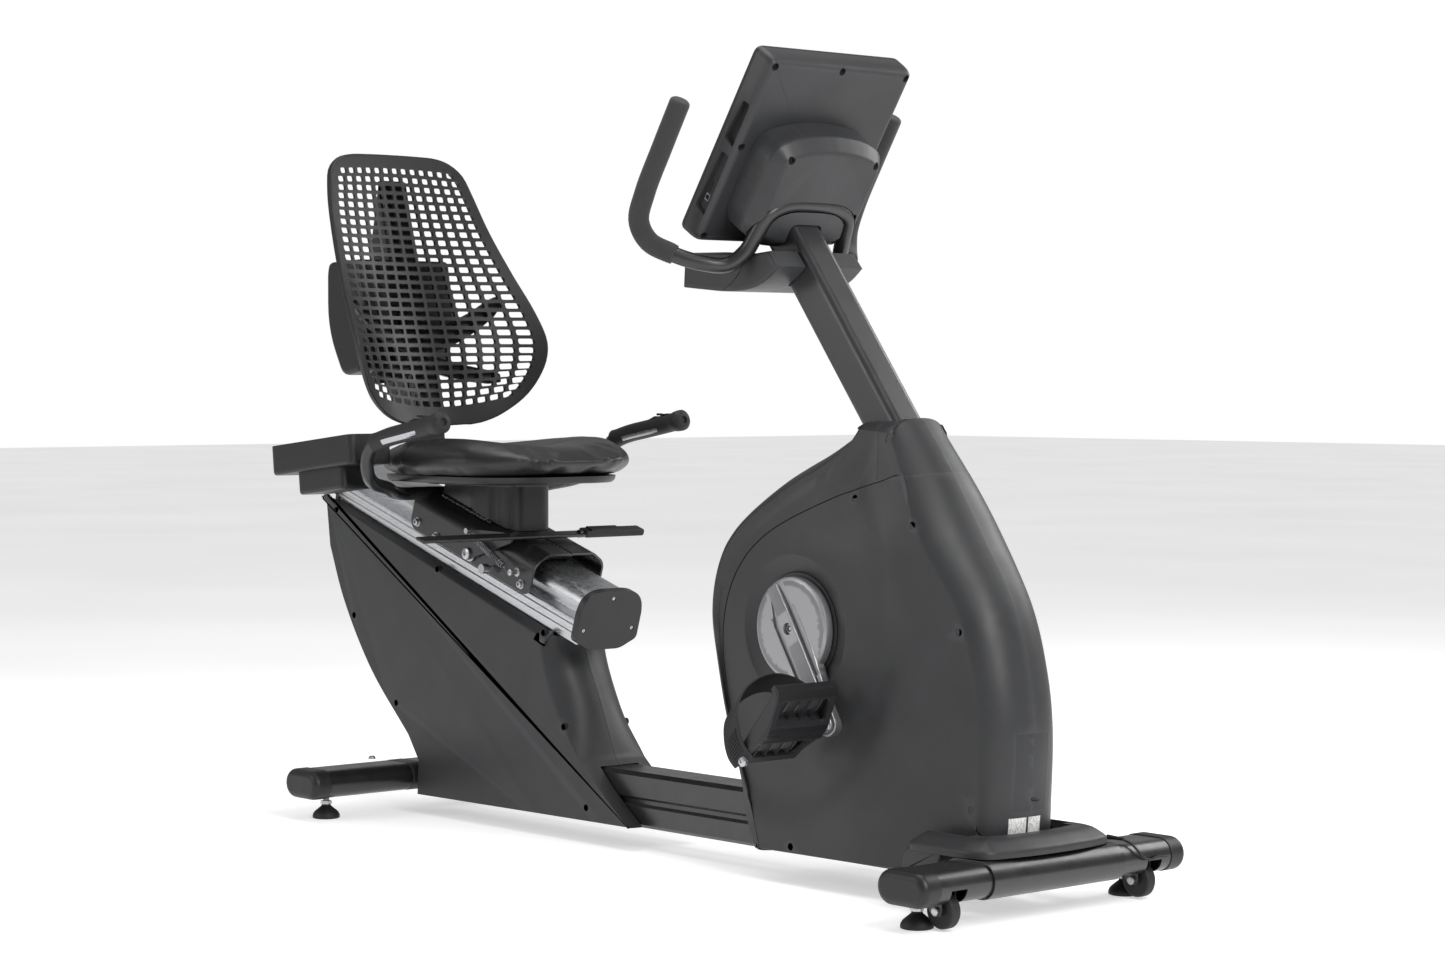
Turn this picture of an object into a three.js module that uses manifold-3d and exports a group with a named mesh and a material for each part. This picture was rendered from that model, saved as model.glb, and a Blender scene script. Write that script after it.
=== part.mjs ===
// Recumbent exercise bike: floor frame, sloping seat rail with a sliding seat, and an enclosed crank drive.
// Millimetres. +X runs from the seat to the console, +Y is the rider's left, +Z is up, z = 0 is the floor.
import * as THREE from "three";
import { mergeVertices } from "three/addons/utils/BufferGeometryUtils.js";
import Module from "manifold-3d";

const wasm = await Module();
wasm.setup();

// ---------------------------------------------------------------- driving dimensions
const FRAME_SHIFT = 125.2; // puts the origin under the middle of the bike's length
const GAP = 0.4; // clearance between pieces that sit against each other
const WALL = 3; // moulded covers and formed tubes

const STABILISER = {
  halfWidth: 300,
  depth: 104,
  height: 52,
  z: 69,
  frontX: 775,
  rearX: -830,
  capLength: 38,
};
const BEAM = { rear: -777, front: 722, top: 136, bottom: 38, halfWidth: 42 };
const FOOT = { frontX: 750, rearX: -834, y: 237, radius: 26, height: 24, stem: 6 };
const CASTER = { x: 793, y: 223, z: 31.5, radius: 28.5, width: 20, axle: 4 };

const RAIL = { slopeDeg: 17.5, x: -273, z: 397, length: 800, capThickness: 15 };
const RAIL_BASE = -36.5; // height of the housing's top edge below the rail axis
const HOUSING_DEPTH = 75;

const CRANK = { x: 340, z: 425, length: 175, angleDeg: 31, axle: 15, disc: 85, recess: 120 };
const HUB = { radius: 22, inner: 94 };
const PULLEY_RADIUS = 115;
const FLYWHEEL = { x: 520, z: 270, radius: 115, pulley: 28, axle: 8.5 };
const BELT = { y0: -16, y1: 0, thickness: 3 };
const SHROUD_DEPTH = 115;
const RECESS_FLOOR = 104;
const PEDAL = { tiltDeg: -48.9, inner: 138.5, outer: 271, spindle: 7 };

const MAST = { x: 442.6, z: 777, leanDeg: 37.3, depth: 72, width: 66, up: 385, down: 330 };
const CONSOLE = { x: 245.3, z: 1206.1, leanDeg: 33.5, height: 350, width: 326, thickness: 50 };

const CARRIAGE = { rear: -527, front: -140, top: 78, skirt: -5, halfWidth: 82, wall: 4 };
const SEAT = { rear: -800, front: -345, halfWidth: 215, top: 742, bottom: 656 };
const BACK = { bottom: 745, top: 1272, thickness: 14 };
const LEVER = { s: -218, w: 86, pivotS: -326, pivotW: 14, rightY: -292, leftY: 223 };
const ROLLER = { radius: 13.5, w: 64, halfLength: 30, rearS: -480, frontS: -185 };

// ---------------------------------------------------------------- finishes
const finish = (color, roughness, metalness = 0) =>
  new THREE.MeshStandardMaterial({ color, roughness, metalness, flatShading: true });
const SHELL = finish(0x343537, 0.55);
const PAINT = finish(0x161618, 0.32, 0.3);
const TRIM = finish(0x1d1d1f, 0.5);
const RUBBER = finish(0x141414, 0.85);
const FOAM = finish(0x3a3a3c, 0.95);
const PADDING = finish(0x1b1b1d, 0.45);
const ANODISED = finish(0xc4c7ca, 0.3, 0.95);
const CRANK_PAINT = finish(0x7c7d7f, 0.35, 0.7);
const STEEL = finish(0x8d9095, 0.35, 0.9);
const IRON = finish(0x4a4b4d, 0.55, 0.6);
const GLASS = finish(0x07080a, 0.08);

// ---------------------------------------------------------------- solids
const radians = THREE.MathUtils.degToRad;

// One closed surface with shared corners, its faces turned outwards.
function closed(geometry) {
  const loose = geometry.index ? geometry.toNonIndexed() : geometry;
  const bare = new THREE.BufferGeometry().setAttribute("position", loose.getAttribute("position"));
  const merged = mergeVertices(bare, 1e-3);
  const p = merged.getAttribute("position");
  const [a, b, c] = [new THREE.Vector3(), new THREE.Vector3(), new THREE.Vector3()];
  const triangles = [];
  let volume = 0;
  for (let i = 0; i < merged.index.count; i += 3) {
    const [u, v, w] = merged.index.array.slice(i, i + 3);
    if (u === v || v === w || u === w) continue;
    triangles.push(u, v, w);
    volume += a.fromBufferAttribute(p, u).dot(b.fromBufferAttribute(p, v).cross(c.fromBufferAttribute(p, w)));
  }
  if (volume < 0) triangles.reverse();
  merged.setIndex(triangles);
  return merged;
}

function toManifold(geometry) {
  const g = closed(geometry);
  return new wasm.Manifold(
    new wasm.Mesh({
      numProp: 3,
      vertProperties: new Float32Array(g.getAttribute("position").array),
      triVerts: new Uint32Array(g.index.array),
    }),
  );
}

function fromManifold(manifold) {
  const { vertProperties, triVerts } = manifold.getMesh();
  return new THREE.BufferGeometry()
    .setAttribute("position", new THREE.BufferAttribute(vertProperties, 3))
    .setIndex(new THREE.BufferAttribute(triVerts, 1));
}

const join = (first, ...others) =>
  fromManifold(others.reduce((all, g) => all.add(toManifold(g)), toManifold(first)));
const cut = (first, ...tools) =>
  fromManifold(tools.reduce((all, g) => all.subtract(toManifold(g)), toManifold(first)));
const common = (first, second) => fromManifold(toManifold(first).intersect(toManifold(second)));
const mirrored = (geometry) => geometry.clone().scale(1, -1, 1);

const box = (x0, x1, y0, y1, z0, z1) =>
  new THREE.BoxGeometry(x1 - x0, y1 - y0, z1 - z0).translate((x0 + x1) / 2, (y0 + y1) / 2, (z0 + z1) / 2);

const shapeOf = (points, holes = []) => {
  const shape = new THREE.Shape(points.map(([u, v]) => new THREE.Vector2(u, v)));
  shape.holes = holes.map((hole) => new THREE.Path(hole.map(([u, v]) => new THREE.Vector2(u, v))));
  return shape;
};
const extruded = (points, depth, holes) =>
  new THREE.ExtrudeGeometry(shapeOf(points, holes), { depth, bevelEnabled: false, curveSegments: 6 });

// A prism whose outline lies in the XZ, YZ or XY plane.
const prismY = (points, y0, y1, holes) =>
  extruded(points, y1 - y0, holes).rotateX(Math.PI / 2).translate(0, y1, 0);
const prismX = (points, x0, x1, holes) =>
  extruded(points, x1 - x0, holes).applyMatrix4(
    new THREE.Matrix4().makeBasis(
      new THREE.Vector3(0, 1, 0),
      new THREE.Vector3(0, 0, 1),
      new THREE.Vector3(1, 0, 0),
    ),
  ).translate(x0, 0, 0);
const prismZ = (points, z0, z1, holes) => extruded(points, z1 - z0, holes).translate(0, 0, z0);

// A cylinder along Y or between two points.
const discY = (x, z, radius, y0, y1, sides = 16) =>
  new THREE.CylinderGeometry(radius, radius, y1 - y0, sides).translate(x, (y0 + y1) / 2, z);
function rod(from, to, radius, sides = 12) {
  const a = new THREE.Vector3(...from);
  const b = new THREE.Vector3(...to);
  const turn = new THREE.Quaternion().setFromUnitVectors(
    new THREE.Vector3(0, 1, 0),
    b.clone().sub(a).normalize(),
  );
  return new THREE.CylinderGeometry(radius, radius, a.distanceTo(b), sides)
    .applyQuaternion(turn)
    .translate(...a.add(b).multiplyScalar(0.5));
}

const lathe = (profile, sides = 16) =>
  new THREE.LatheGeometry(profile.map(([r, h]) => new THREE.Vector2(r, h)), sides);
const ringOutline = (radius, sides) =>
  Array.from({ length: sides }, (_, i) => {
    const a = (2 * Math.PI * i) / sides;
    return [radius * Math.cos(a), radius * Math.sin(a)];
  });

// A bent tube through the given points.
const bentTube = (points, radius, steps, sides = 12) =>
  new THREE.ExtrudeGeometry(shapeOf(ringOutline(radius, sides)), {
    steps,
    extrudePath: new THREE.CatmullRomCurve3(points.map((p) => new THREE.Vector3(...p)), false, "centripetal"),
    bevelEnabled: false,
  });

// Outlines: a flat oval, a rectangle with round corners, and a smooth run through points of any length.
const flatOval = (width, height, steps = 5) => {
  const r = height / 2;
  const end = (side) =>
    Array.from({ length: steps + 1 }, (_, i) => {
      const a = side * (-Math.PI / 2 + (Math.PI * i) / steps);
      return [side * (width / 2 - r) + side * r * Math.cos(a), r * Math.sin(a)];
    });
  return [...end(1), ...end(-1)];
};
const roundRect = (width, height, r, steps = 3) =>
  [[1, 1], [-1, 1], [-1, -1], [1, -1]].flatMap(([sx, sy], corner) =>
    Array.from({ length: steps + 1 }, (_, i) => {
      const a = (corner + i / steps) * (Math.PI / 2);
      return [sx * (width / 2 - r) + r * Math.cos(a), sy * (height / 2 - r) + r * Math.sin(a)];
    }),
  );
function smooth(points, steps) {
  const curve = new THREE.CatmullRomCurve3(
    points.map(([x, z, soft = 0]) => new THREE.Vector3(x, z, soft * 100)),
    false,
    "centripetal",
  );
  return curve.getPoints(steps).map((p) => [p.x, p.y, p.z / 100]);
}
const shifted = (points, du, dv) => points.map(([u, v, ...rest]) => [u + du, v + dv, ...rest]);
const bothSides = (half) => [...half, ...half.slice().reverse().map(([u, v]) => [-u, v])];

// The outline moved inwards by a distance, or by distance times each point's own softness.
function inset(points, distance, bySoftness = false) {
  const area = points.reduce((sum, [x, z], i) => {
    const [x2, z2] = points[(i + 1) % points.length];
    return sum + x * z2 - x2 * z;
  }, 0);
  const turn = Math.sign(area);
  return points.map(([x, z, soft = 1], i) => {
    const before = points[(i + points.length - 1) % points.length];
    const after = points[(i + 1) % points.length];
    const e1 = new THREE.Vector2(x - before[0], z - before[1]).normalize();
    const e2 = new THREE.Vector2(after[0] - x, after[1] - z).normalize();
    const n = new THREE.Vector2(-(e1.y + e2.y), e1.x + e2.x).multiplyScalar(turn);
    const length = n.length();
    n.normalize();
    const reach = (bySoftness ? soft : 1) * distance * Math.min(1.5, 2 / Math.max(length, 0.01));
    return [x + n.x * reach, z + n.y * reach, soft];
  });
}

// A closed skin through rings of points, its first and last rings filled.
function loft(rings) {
  const count = rings[0].length;
  const corner = (ring, i) => rings[ring][i % count];
  const positions = [];
  const face = (...corners) => corners.forEach((c) => positions.push(...c));
  for (let r = 0; r + 1 < rings.length; r++)
    for (let i = 0; i < count; i++) {
      face(corner(r, i), corner(r, i + 1), corner(r + 1, i + 1));
      face(corner(r, i), corner(r + 1, i + 1), corner(r + 1, i));
    }
  // Corners taken in ring order wind every triangle of a cap the same way as its ring.
  const fill = (ring, reversed) => {
    const spread = [0, 1, 2].map((k) => {
      const values = ring.map((p) => p[k]);
      return Math.max(...values) - Math.min(...values);
    });
    const flat = spread.indexOf(Math.min(...spread));
    const [ku, kv] = [0, 1, 2].filter((k) => k !== flat);
    const outline = ring.map((p) => new THREE.Vector2(p[ku], p[kv]));
    for (const t of THREE.ShapeUtils.triangulateShape(outline, [])) {
      const order = [...t].sort((i, j) => i - j);
      face(...(reversed ? order.reverse() : order).map((i) => ring[i]));
    }
  };
  fill(rings[0], true);
  fill(rings.at(-1), false);
  return new THREE.BufferGeometry().setAttribute(
    "position",
    new THREE.Float32BufferAttribute(positions, 3),
  );
}

// Half of a moulded cover: the side outline carried out from the centre seam in steps of depth and inset.
const puffed = (outline, steps, side, narrowing = () => 1) =>
  loft(
    steps.map(([depth, soften]) =>
      inset(outline, soften, true).map(([x, z]) => [x, side * depth * narrowing(x, z), z]),
    ),
  );
function halfCover(outline, steps, side, narrowing) {
  const inner = steps.map(([depth, soften], i) => [i ? depth - WALL : -5, soften]);
  return cut(puffed(outline, steps, side, narrowing), puffed(inset(outline, WALL), inner, side, narrowing));
}

// A closed slab between two grids of points with the same rows and columns.
function slab(front, back) {
  const rows = front.length - 1;
  const columns = front[0].length - 1;
  const positions = [];
  const quad = (a, b, c, d) => [a, b, c, a, c, d].forEach((p) => positions.push(...p));
  for (let r = 0; r < rows; r++)
    for (let c = 0; c < columns; c++) {
      quad(front[r][c], front[r][c + 1], front[r + 1][c + 1], front[r + 1][c]);
      quad(back[r][c], back[r + 1][c], back[r + 1][c + 1], back[r][c + 1]);
    }
  for (let c = 0; c < columns; c++) {
    quad(front[0][c], back[0][c], back[0][c + 1], front[0][c + 1]);
    quad(front[rows][c], front[rows][c + 1], back[rows][c + 1], back[rows][c]);
  }
  for (let r = 0; r < rows; r++) {
    quad(front[r][0], front[r + 1][0], back[r + 1][0], back[r][0]);
    quad(front[r][columns], back[r][columns], back[r + 1][columns], front[r + 1][columns]);
  }
  return new THREE.BufferGeometry().setAttribute(
    "position",
    new THREE.Float32BufferAttribute(positions, 3),
  );
}

// A smooth value read from a short list of [position, value] pairs.
function graded(pairs, at) {
  const i = Math.max(0, Math.min(pairs.length - 2, pairs.findIndex(([x]) => x > at) - 1));
  const k = at >= pairs.at(-1)[0] ? pairs.length - 2 : i;
  const t = THREE.MathUtils.clamp((at - pairs[k][0]) / (pairs[k + 1][0] - pairs[k][0]), 0, 1);
  return THREE.MathUtils.lerp(pairs[k][1], pairs[k + 1][1], t * t * (3 - 2 * t) * 0.4 + t * 0.6);
}

// ---------------------------------------------------------------- scene graph
const bike = new THREE.Group();
bike.position.x = FRAME_SHIFT;
const slope = new THREE.Group(); // s along the rail towards its low front end, w square to it
slope.position.set(RAIL.x, 0, RAIL.z);
slope.rotation.y = radians(RAIL.slopeDeg);
const head = new THREE.Group(); // console frame: x out of its back, z up its face
head.position.set(CONSOLE.x, 0, CONSOLE.z);
head.rotation.y = radians(CONSOLE.leanDeg);
bike.add(slope, head);

// Booleans may leave crumbs: only the largest body becomes the mesh.
function add(parent, name, geometry, material) {
  const [body] = toManifold(geometry).decompose().sort((a, b) => b.volume() - a.volume());
  const mesh = new THREE.Mesh(fromManifold(body), material);
  mesh.name = name;
  parent.add(mesh);
  return mesh;
}
const SIDES = [["right", -1], ["left", 1]];

// A point of the sloping rail frame, in bike coordinates.
function onSlope(s, w) {
  const a = radians(RAIL.slopeDeg);
  return [RAIL.x + s * Math.cos(a) + w * Math.sin(a), RAIL.z - s * Math.sin(a) + w * Math.cos(a)];
}
const toSlope = (geometry) =>
  geometry.translate(-RAIL.x, 0, -RAIL.z).rotateY(-radians(RAIL.slopeDeg));
const fromSlope = (geometry) =>
  geometry.rotateY(radians(RAIL.slopeDeg)).translate(RAIL.x, 0, RAIL.z);

// The same outline with its upper half lifted clear, to cut a post open at the top.
const raised = (points, lift) => {
  const middle = (Math.min(...points.map((p) => p[1])) + Math.max(...points.map((p) => p[1]))) / 2;
  return points.map(([u, v]) => [u, v > middle ? v + lift : v]);
};

// ---------------------------------------------------------------- floor frame
const beamHalf = [
  [BEAM.halfWidth - 8, BEAM.top],
  [BEAM.halfWidth, BEAM.top - 7],
  [BEAM.halfWidth, 92],
  [BEAM.halfWidth - 5, 87],
  [BEAM.halfWidth - 5, 80],
  [BEAM.halfWidth, 75],
  [BEAM.halfWidth, BEAM.bottom + 6],
  [BEAM.halfWidth - 6, BEAM.bottom],
];
const beamClearance = () => box(BEAM.rear - 10, BEAM.front + 5, -43.5, 43.5, BEAM.bottom - 20, BEAM.top + 1);

function buildFrame() {
  const frontPostTop = [onSlope(-175, -50.4), onSlope(-105, -50.4)];
  const rearPostTop = [onSlope(-715, -50.4), onSlope(-635, -50.4)];
  const foot = BEAM.top - 1;
  const posts = [
    [[-490, foot], [-405, foot], frontPostTop[1], frontPostTop[0]],
    [[-772, foot], [-690, foot], rearPostTop[1], rearPostTop[0]],
  ];
  const frame = cut(
    join(prismX(bothSides(beamHalf), BEAM.rear, BEAM.front), ...posts.map((post) => prismY(post, -30, 30))),
    prismX(inset(bothSides(beamHalf), WALL), BEAM.rear - 1, BEAM.front + 1),
    ...posts.map((post) => prismY(raised(inset(post, WALL), 12), -30 + WALL, 30 - WALL)),
  );
  add(bike, "main_frame", frame, PAINT);
}

function stabiliser(x) {
  const { halfWidth, capLength, depth, height, z } = STABILISER;
  const length = halfWidth - capLength;
  const outline = flatOval(depth, height);
  const bore = flatOval(depth - 2 * WALL, height - 2 * WALL);
  return prismY(shifted(outline, x, z), -length, length, [shifted(bore, x, z)]);
}
const stemHoles = (x) =>
  SIDES.map(([, side]) =>
    new THREE.CylinderGeometry(FOOT.stem + 0.7, FOOT.stem + 0.7, 30, 24)
      .rotateX(Math.PI / 2)
      .translate(x, side * FOOT.y, STABILISER.z - STABILISER.height / 2),
  );

// The front tube carries a welded sleeve over the beam joint and a notched fork for each transport wheel.
function buildFrontStabiliser() {
  const { frontX: x, z, depth, height } = STABILISER;
  const sleeve = prismY(shifted(flatOval(depth + 7, height + 7), x, z), -150, 150, [
    shifted(flatOval(depth - 1, height - 1), x, z),
  ]);
  const notch = (side) => box(x - 20, x + 60, side * CASTER.y - 17, side * CASTER.y + 17, 20, 66);
  const axleHeight = CASTER.z;
  const fork = (side) => {
    const cheek = [
      [CASTER.x - 11, axleHeight], [CASTER.x - 7, axleHeight - 9], [CASTER.x + 7, axleHeight - 9],
      [CASTER.x + 11, axleHeight], [CASTER.x + 9, 63], [CASTER.x + 9, 68], [CASTER.x - 26, 68],
      [CASTER.x - 26, 56],
    ];
    const y = side * CASTER.y;
    return [
      prismY(cheek, y - 17.2, y - 12.5),
      prismY(cheek, y + 12.5, y + 17.2),
      box(CASTER.x - 26, CASTER.x + 9, y - 17.2, y + 17.2, 63.5, 68),
      discY(CASTER.x, axleHeight, CASTER.axle, y - 15, y + 15, 16),
    ];
  };
  const tube = cut(
    join(stabiliser(x), sleeve),
    ...SIDES.map(([, side]) => notch(side)),
    ...stemHoles(FOOT.frontX),
    box(x - 80, BEAM.front + GAP, -43, 43, BEAM.bottom - 5, BEAM.top),
  );
  const wells = SIDES.map(([, side]) =>
    discY(FOOT.frontX, 30, 14, side * FOOT.y - 14, side * FOOT.y + 14),
  );
  const cleared = cut(tube, ...wells);
  add(bike, "front_stabiliser_tube", join(cleared, ...fork(-1), ...fork(1)), PAINT);
}

function buildRearStabiliser() {
  add(bike, "rear_stabiliser_tube", cut(stabiliser(STABILISER.rearX), ...stemHoles(FOOT.rearX)), PAINT);
}

function buildEndCaps() {
  const { halfWidth, capLength, depth, height, z } = STABILISER;
  for (const [end, x] of [["front", STABILISER.frontX], ["rear", STABILISER.rearX]])
    for (const [hand, side] of SIDES) {
      const outline = shifted(flatOval(depth + 3, height + 3), x, z);
      const ring = (y, soften) => inset(outline, soften).map(([u, v]) => [u, side * y, v]);
      const cap = loft([
        ring(halfWidth - capLength - 14, 6),
        ring(halfWidth - capLength + GAP, 6),
        ring(halfWidth - capLength + GAP + 0.1, 0),
        ring(halfWidth - 10, 0),
        ring(halfWidth - 3, 3),
        ring(halfWidth, 10),
      ]);
      add(bike, `end_cap_${end}_${hand}`, cap, TRIM);
    }
}

function buildFeet() {
  const profile = [
    [0, 0], [FOOT.radius - 2, 0], [FOOT.radius, 3], [FOOT.radius - 1, 7], [17, 20], [9, FOOT.height],
    [9.5, 26], [9.5, 33], [FOOT.stem, 34], [FOOT.stem, 58], [0, 58],
  ];
  for (const [end, x] of [["front", FOOT.frontX], ["rear", FOOT.rearX]])
    for (const [hand, side] of SIDES) {
      const turned = lathe(profile, 16).rotateX(Math.PI / 2);
      const foot = add(bike, `levelling_foot_${end}_${hand}`, turned, RUBBER);
      foot.position.set(x, side * FOOT.y, 0);
    }
}

function buildTransportWheels() {
  const { radius, width } = CASTER;
  const bore = CASTER.axle + 0.4;
  const profile = [
    [bore, -width / 2], [11, -width / 2], [12, -6], [22, -6], [23, -width / 2], [radius - 2, -width / 2],
    [radius, -width / 2 + 2], [radius, width / 2 - 2], [radius - 2, width / 2], [23, width / 2], [22, 6],
    [12, 6], [11, width / 2], [bore, width / 2], [bore, -width / 2],
  ];
  for (const [hand, side] of SIDES) {
    const wheel = add(bike, `transport_wheel_${hand}`, lathe(profile, 16), RUBBER);
    wheel.position.set(CASTER.x, side * CASTER.y, CASTER.z);
  }
}

// ---------------------------------------------------------------- rear housing and rail
const housingOutline = () => [
  [...onSlope(-838, RAIL_BASE), 0.3],
  ...smooth([[...onSlope(-70, RAIL_BASE), 0.7], [-345, 342, 0.85], [-302, 250, 0.95], [-258, 150, 0.2]], 6),
  ...smooth([[-215, 108, 0.08], [-170, 72, 0.05], [-127, 40, 0.05]], 3),
  [-768, 34, 0.1],
  [-768, 101, 0.2],
  ...smooth([[-804, 140, 0.35], [-930, 261, 0.35], [-1022, 393, 0.35], [-1070, 500, 0.35]], 7),
];
const HOUSING_STEPS = [[0.3, 0], [30, 4], [54, 16], [70, 34], [HOUSING_DEPTH, 42]];

function buildHousing() {
  const railSeat = fromSlope(box(-860, -40, -58, 58, -54, -20));
  const tubeClearance = box(-900, -769.5, -80, 80, 34, 104);
  for (const [hand, side] of SIDES) {
    const cover = cut(
      halfCover(housingOutline(), HOUSING_STEPS, side),
      railSeat,
      beamClearance(),
      tubeClearance,
    );
    add(bike, `rear_housing_${hand}`, cover, SHELL);
  }
}

function buildRearFootCover() {
  const { rearX: x, z, depth, height } = STABILISER;
  const around = (w, h, y, dx, dz) =>
    shifted(roundRect(w, h, 16), x + dx, z + dz).map(([u, v]) => [u, y, v]);
  const half = [
    [-152, 118, 64, 0, 1],
    [-118, 122, 70, 0, 2],
    [-96, 196, 106, 26, 22],
    [-78, 206, 108, 26, 23],
  ];
  const body = loft([
    ...half.map(([y, w, h, dx, dz]) => around(w, h, y, dx, dz)),
    ...half.slice().reverse().map(([y, w, h, dx, dz]) => around(w, h, -y, dx, dz)),
  ]);
  const wing = [[-760, 38], [-523, 42], [-600, 96], [-673, 145], [-740, 145]];
  const wings = SIDES.map(([, side]) => prismY(wing, side < 0 ? -90 : 74, side < 0 ? -74 : 90));
  const grown = SIDES.map(([, side]) =>
    puffed(inset(housingOutline(), -1.2), HOUSING_STEPS.map(([d, s], i) => [i ? d + 0.8 : -1, s]), side),
  );
  const cover = cut(
    join(body, ...wings),
    prismY(shifted(flatOval(depth + 2, height + 2), x, z), -170, 170),
    beamClearance(),
    ...grown,
    box(-772, -690, -75.6, 75.6, 30, 140),
    prismY([[-896, 20], [-896, 128], [-884, 138], [-724, 138], [-712, 128], [-712, 20]], -74, 74),
  );
  add(bike, "rear_foot_cover", cover, SHELL);
}

// Extruded rail: a broad crown over a roller slot, with a ribbed flange below it.
const railHalf = [
  [28, 50], [44, 46], [55, 37], [59, 28], [59, 23], [40, 20], [40, -1], [61, -4], [62, -9], [59, -11],
  [59, -15], [62, -17], [62, -23], [59, -25], [59, -29], [62, -31], [62, -36], [55, -36], [55, -50],
];
function buildRail() {
  const { length, capThickness } = RAIL;
  const tunnel = bothSides([[30, 34], [30, -36]]);
  const rail = cut(
    prismX(bothSides(railHalf), -length, -capThickness - GAP),
    prismX(tunnel, -length - 10, 10),
  );
  add(slope, "seat_rail", rail, ANODISED);
  const crown = [[26, 57], [46, 53], [62, 42], [70, 27], [72, 10]];
  const cap = (half, s0, s1) => {
    const ring = (s, soften) => inset(bothSides(half), soften).map(([y, w]) => [s, y, w]);
    return loft([ring(s0, 0), ring((s0 + 4 * s1) / 5, 0), ring(s1, 4)]);
  };
  const rear = -length - GAP;
  add(slope, "rail_end_cap_front", cap([...crown, [72, -44], [30, -57]], -capThickness, 0), TRIM);
  const rearOutline = [...crown, [72, -35], [56, -36], [56, -52]];
  add(slope, "rail_end_cap_rear", cap(rearOutline, rear, rear - capThickness), TRIM);
}

// ---------------------------------------------------------------- drive shroud
const SHROUD_NOSE = [
  [522, 771, 0.6], [582, 696, 0.8], [652, 594, 1], [723, 483, 1],
  [757, 378, 1], [770, 286, 1], [758, 117, 0.7],
];
const SHROUD_BACK = [
  [196, 139, 0.7], [150, 239, 0.8], [121, 349, 0.8], [106, 443, 0.8], [121, 524, 0.8], [164, 595, 0.8],
  [255, 667, 0.8], [368, 721, 0.6], [425, 750, 0.4],
];
const shroudOutline = () => [
  ...smooth(SHROUD_NOSE, 9),
  [757, 101, 0.5],
  [716, 101, 0.1],
  [700, 58, 0.1],
  [583, 52, 0.1],
  [249, 46, 0.2],
  ...smooth(SHROUD_BACK, 11),
  [432, 766, 0.3],
];
const SHROUD_STEPS = [[0.3, 0], [45, 3], [80, 13], [103, 27], [SHROUD_DEPTH, 46]];
const { smoothstep } = THREE.MathUtils;
const shroudNarrowing = (x, z) =>
  (1 - 0.46 * smoothstep(z, 540, 775)) * (1 - 0.3 * smoothstep(x, 470, 710));
// Half of the shroud as a solid: grown outwards by a margin, or shrunk, with its inner edge past the seam.
const shroudSolid = (side, margin, seam) =>
  puffed(
    margin ? inset(shroudOutline(), -margin) : shroudOutline(),
    SHROUD_STEPS.map(([depth, soften], i) => [i ? depth + margin : seam, soften]),
    side,
    shroudNarrowing,
  );
const COLLAR = [[478, 790], [500, 672], [700, 702], [600, 800]];

const mastAxis = (t) => {
  const a = radians(MAST.leanDeg);
  return [MAST.x - Math.sin(a) * t, MAST.z + Math.cos(a) * t];
};
function mastOutline(margin) {
  const { depth, width } = MAST;
  return roundRect(depth + 2 * margin, width + 2 * margin, 14 + margin);
}
// A straight length of the mast's section, from t0 to t1 along its leaning axis.
const mastLength = (t0, t1, margin = 0, bore = []) =>
  prismZ(mastOutline(margin), t0, t1, bore)
    .rotateY(-radians(MAST.leanDeg))
    .translate(MAST.x, 0, MAST.z);

function buildShroud() {
  const crankHole = discY(CRANK.x, CRANK.z, HUB.radius + 4, -200, 200);
  const inletOpening = box(730, 790, -25.5, 25.5, 160, 275);
  const collarBlock = prismY(COLLAR, -200, 200);
  const collarGap = prismY(inset(COLLAR, -GAP), -200, 200);
  const whole = {};
  for (const [hand, side] of SIDES) {
    whole[hand] = halfCover(shroudOutline(), SHROUD_STEPS, side, shroudNarrowing);
    const near = (a, b) => (side < 0 ? [-b, -a] : [a, b]);
    const cupDepth = near(RECESS_FLOOR - WALL, SHROUD_DEPTH - 0.2);
    const cup = discY(CRANK.x, CRANK.z, CRANK.recess + WALL, ...cupDepth, 32);
    const pocket = discY(CRANK.x, CRANK.z, CRANK.recess, ...near(RECESS_FLOOR, SHROUD_DEPTH + 20), 32);
    const cover = cut(
      join(whole[hand], cup),
      pocket,
      crankHole,
      inletOpening,
      collarGap,
      mastLength(-60, 120, 1),
      beamClearance(),
    );
    add(bike, `shroud_${hand}`, cover, SHELL);
  }
  const ring = cut(
    common(
      join(...SIDES.map(([, side]) => shroudSolid(side, 0, -0.2))),
      collarBlock,
    ),
    ...SIDES.map(([, side]) => shroudSolid(side, -WALL, -5)),
    mastLength(-200, 120, 1),
  );
  add(bike, "mast_collar", ring, SHELL);
}

function buildInletPanel() {
  const panel = join(
    box(744, 752, -25, 25, 161, 274),
    rod([750, 4, 232], [762, 4, 232], 5, 12),
    rod([750, 2, 204], [758, 2, 204], 4, 12),
    rod([757, 2, 204], [768, 2, 199], 2.2, 8),
    rod([750, 0, 174], [757, 0, 174], 4, 12),
  );
  add(bike, "inlet_panel", panel, TRIM);
}

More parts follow.
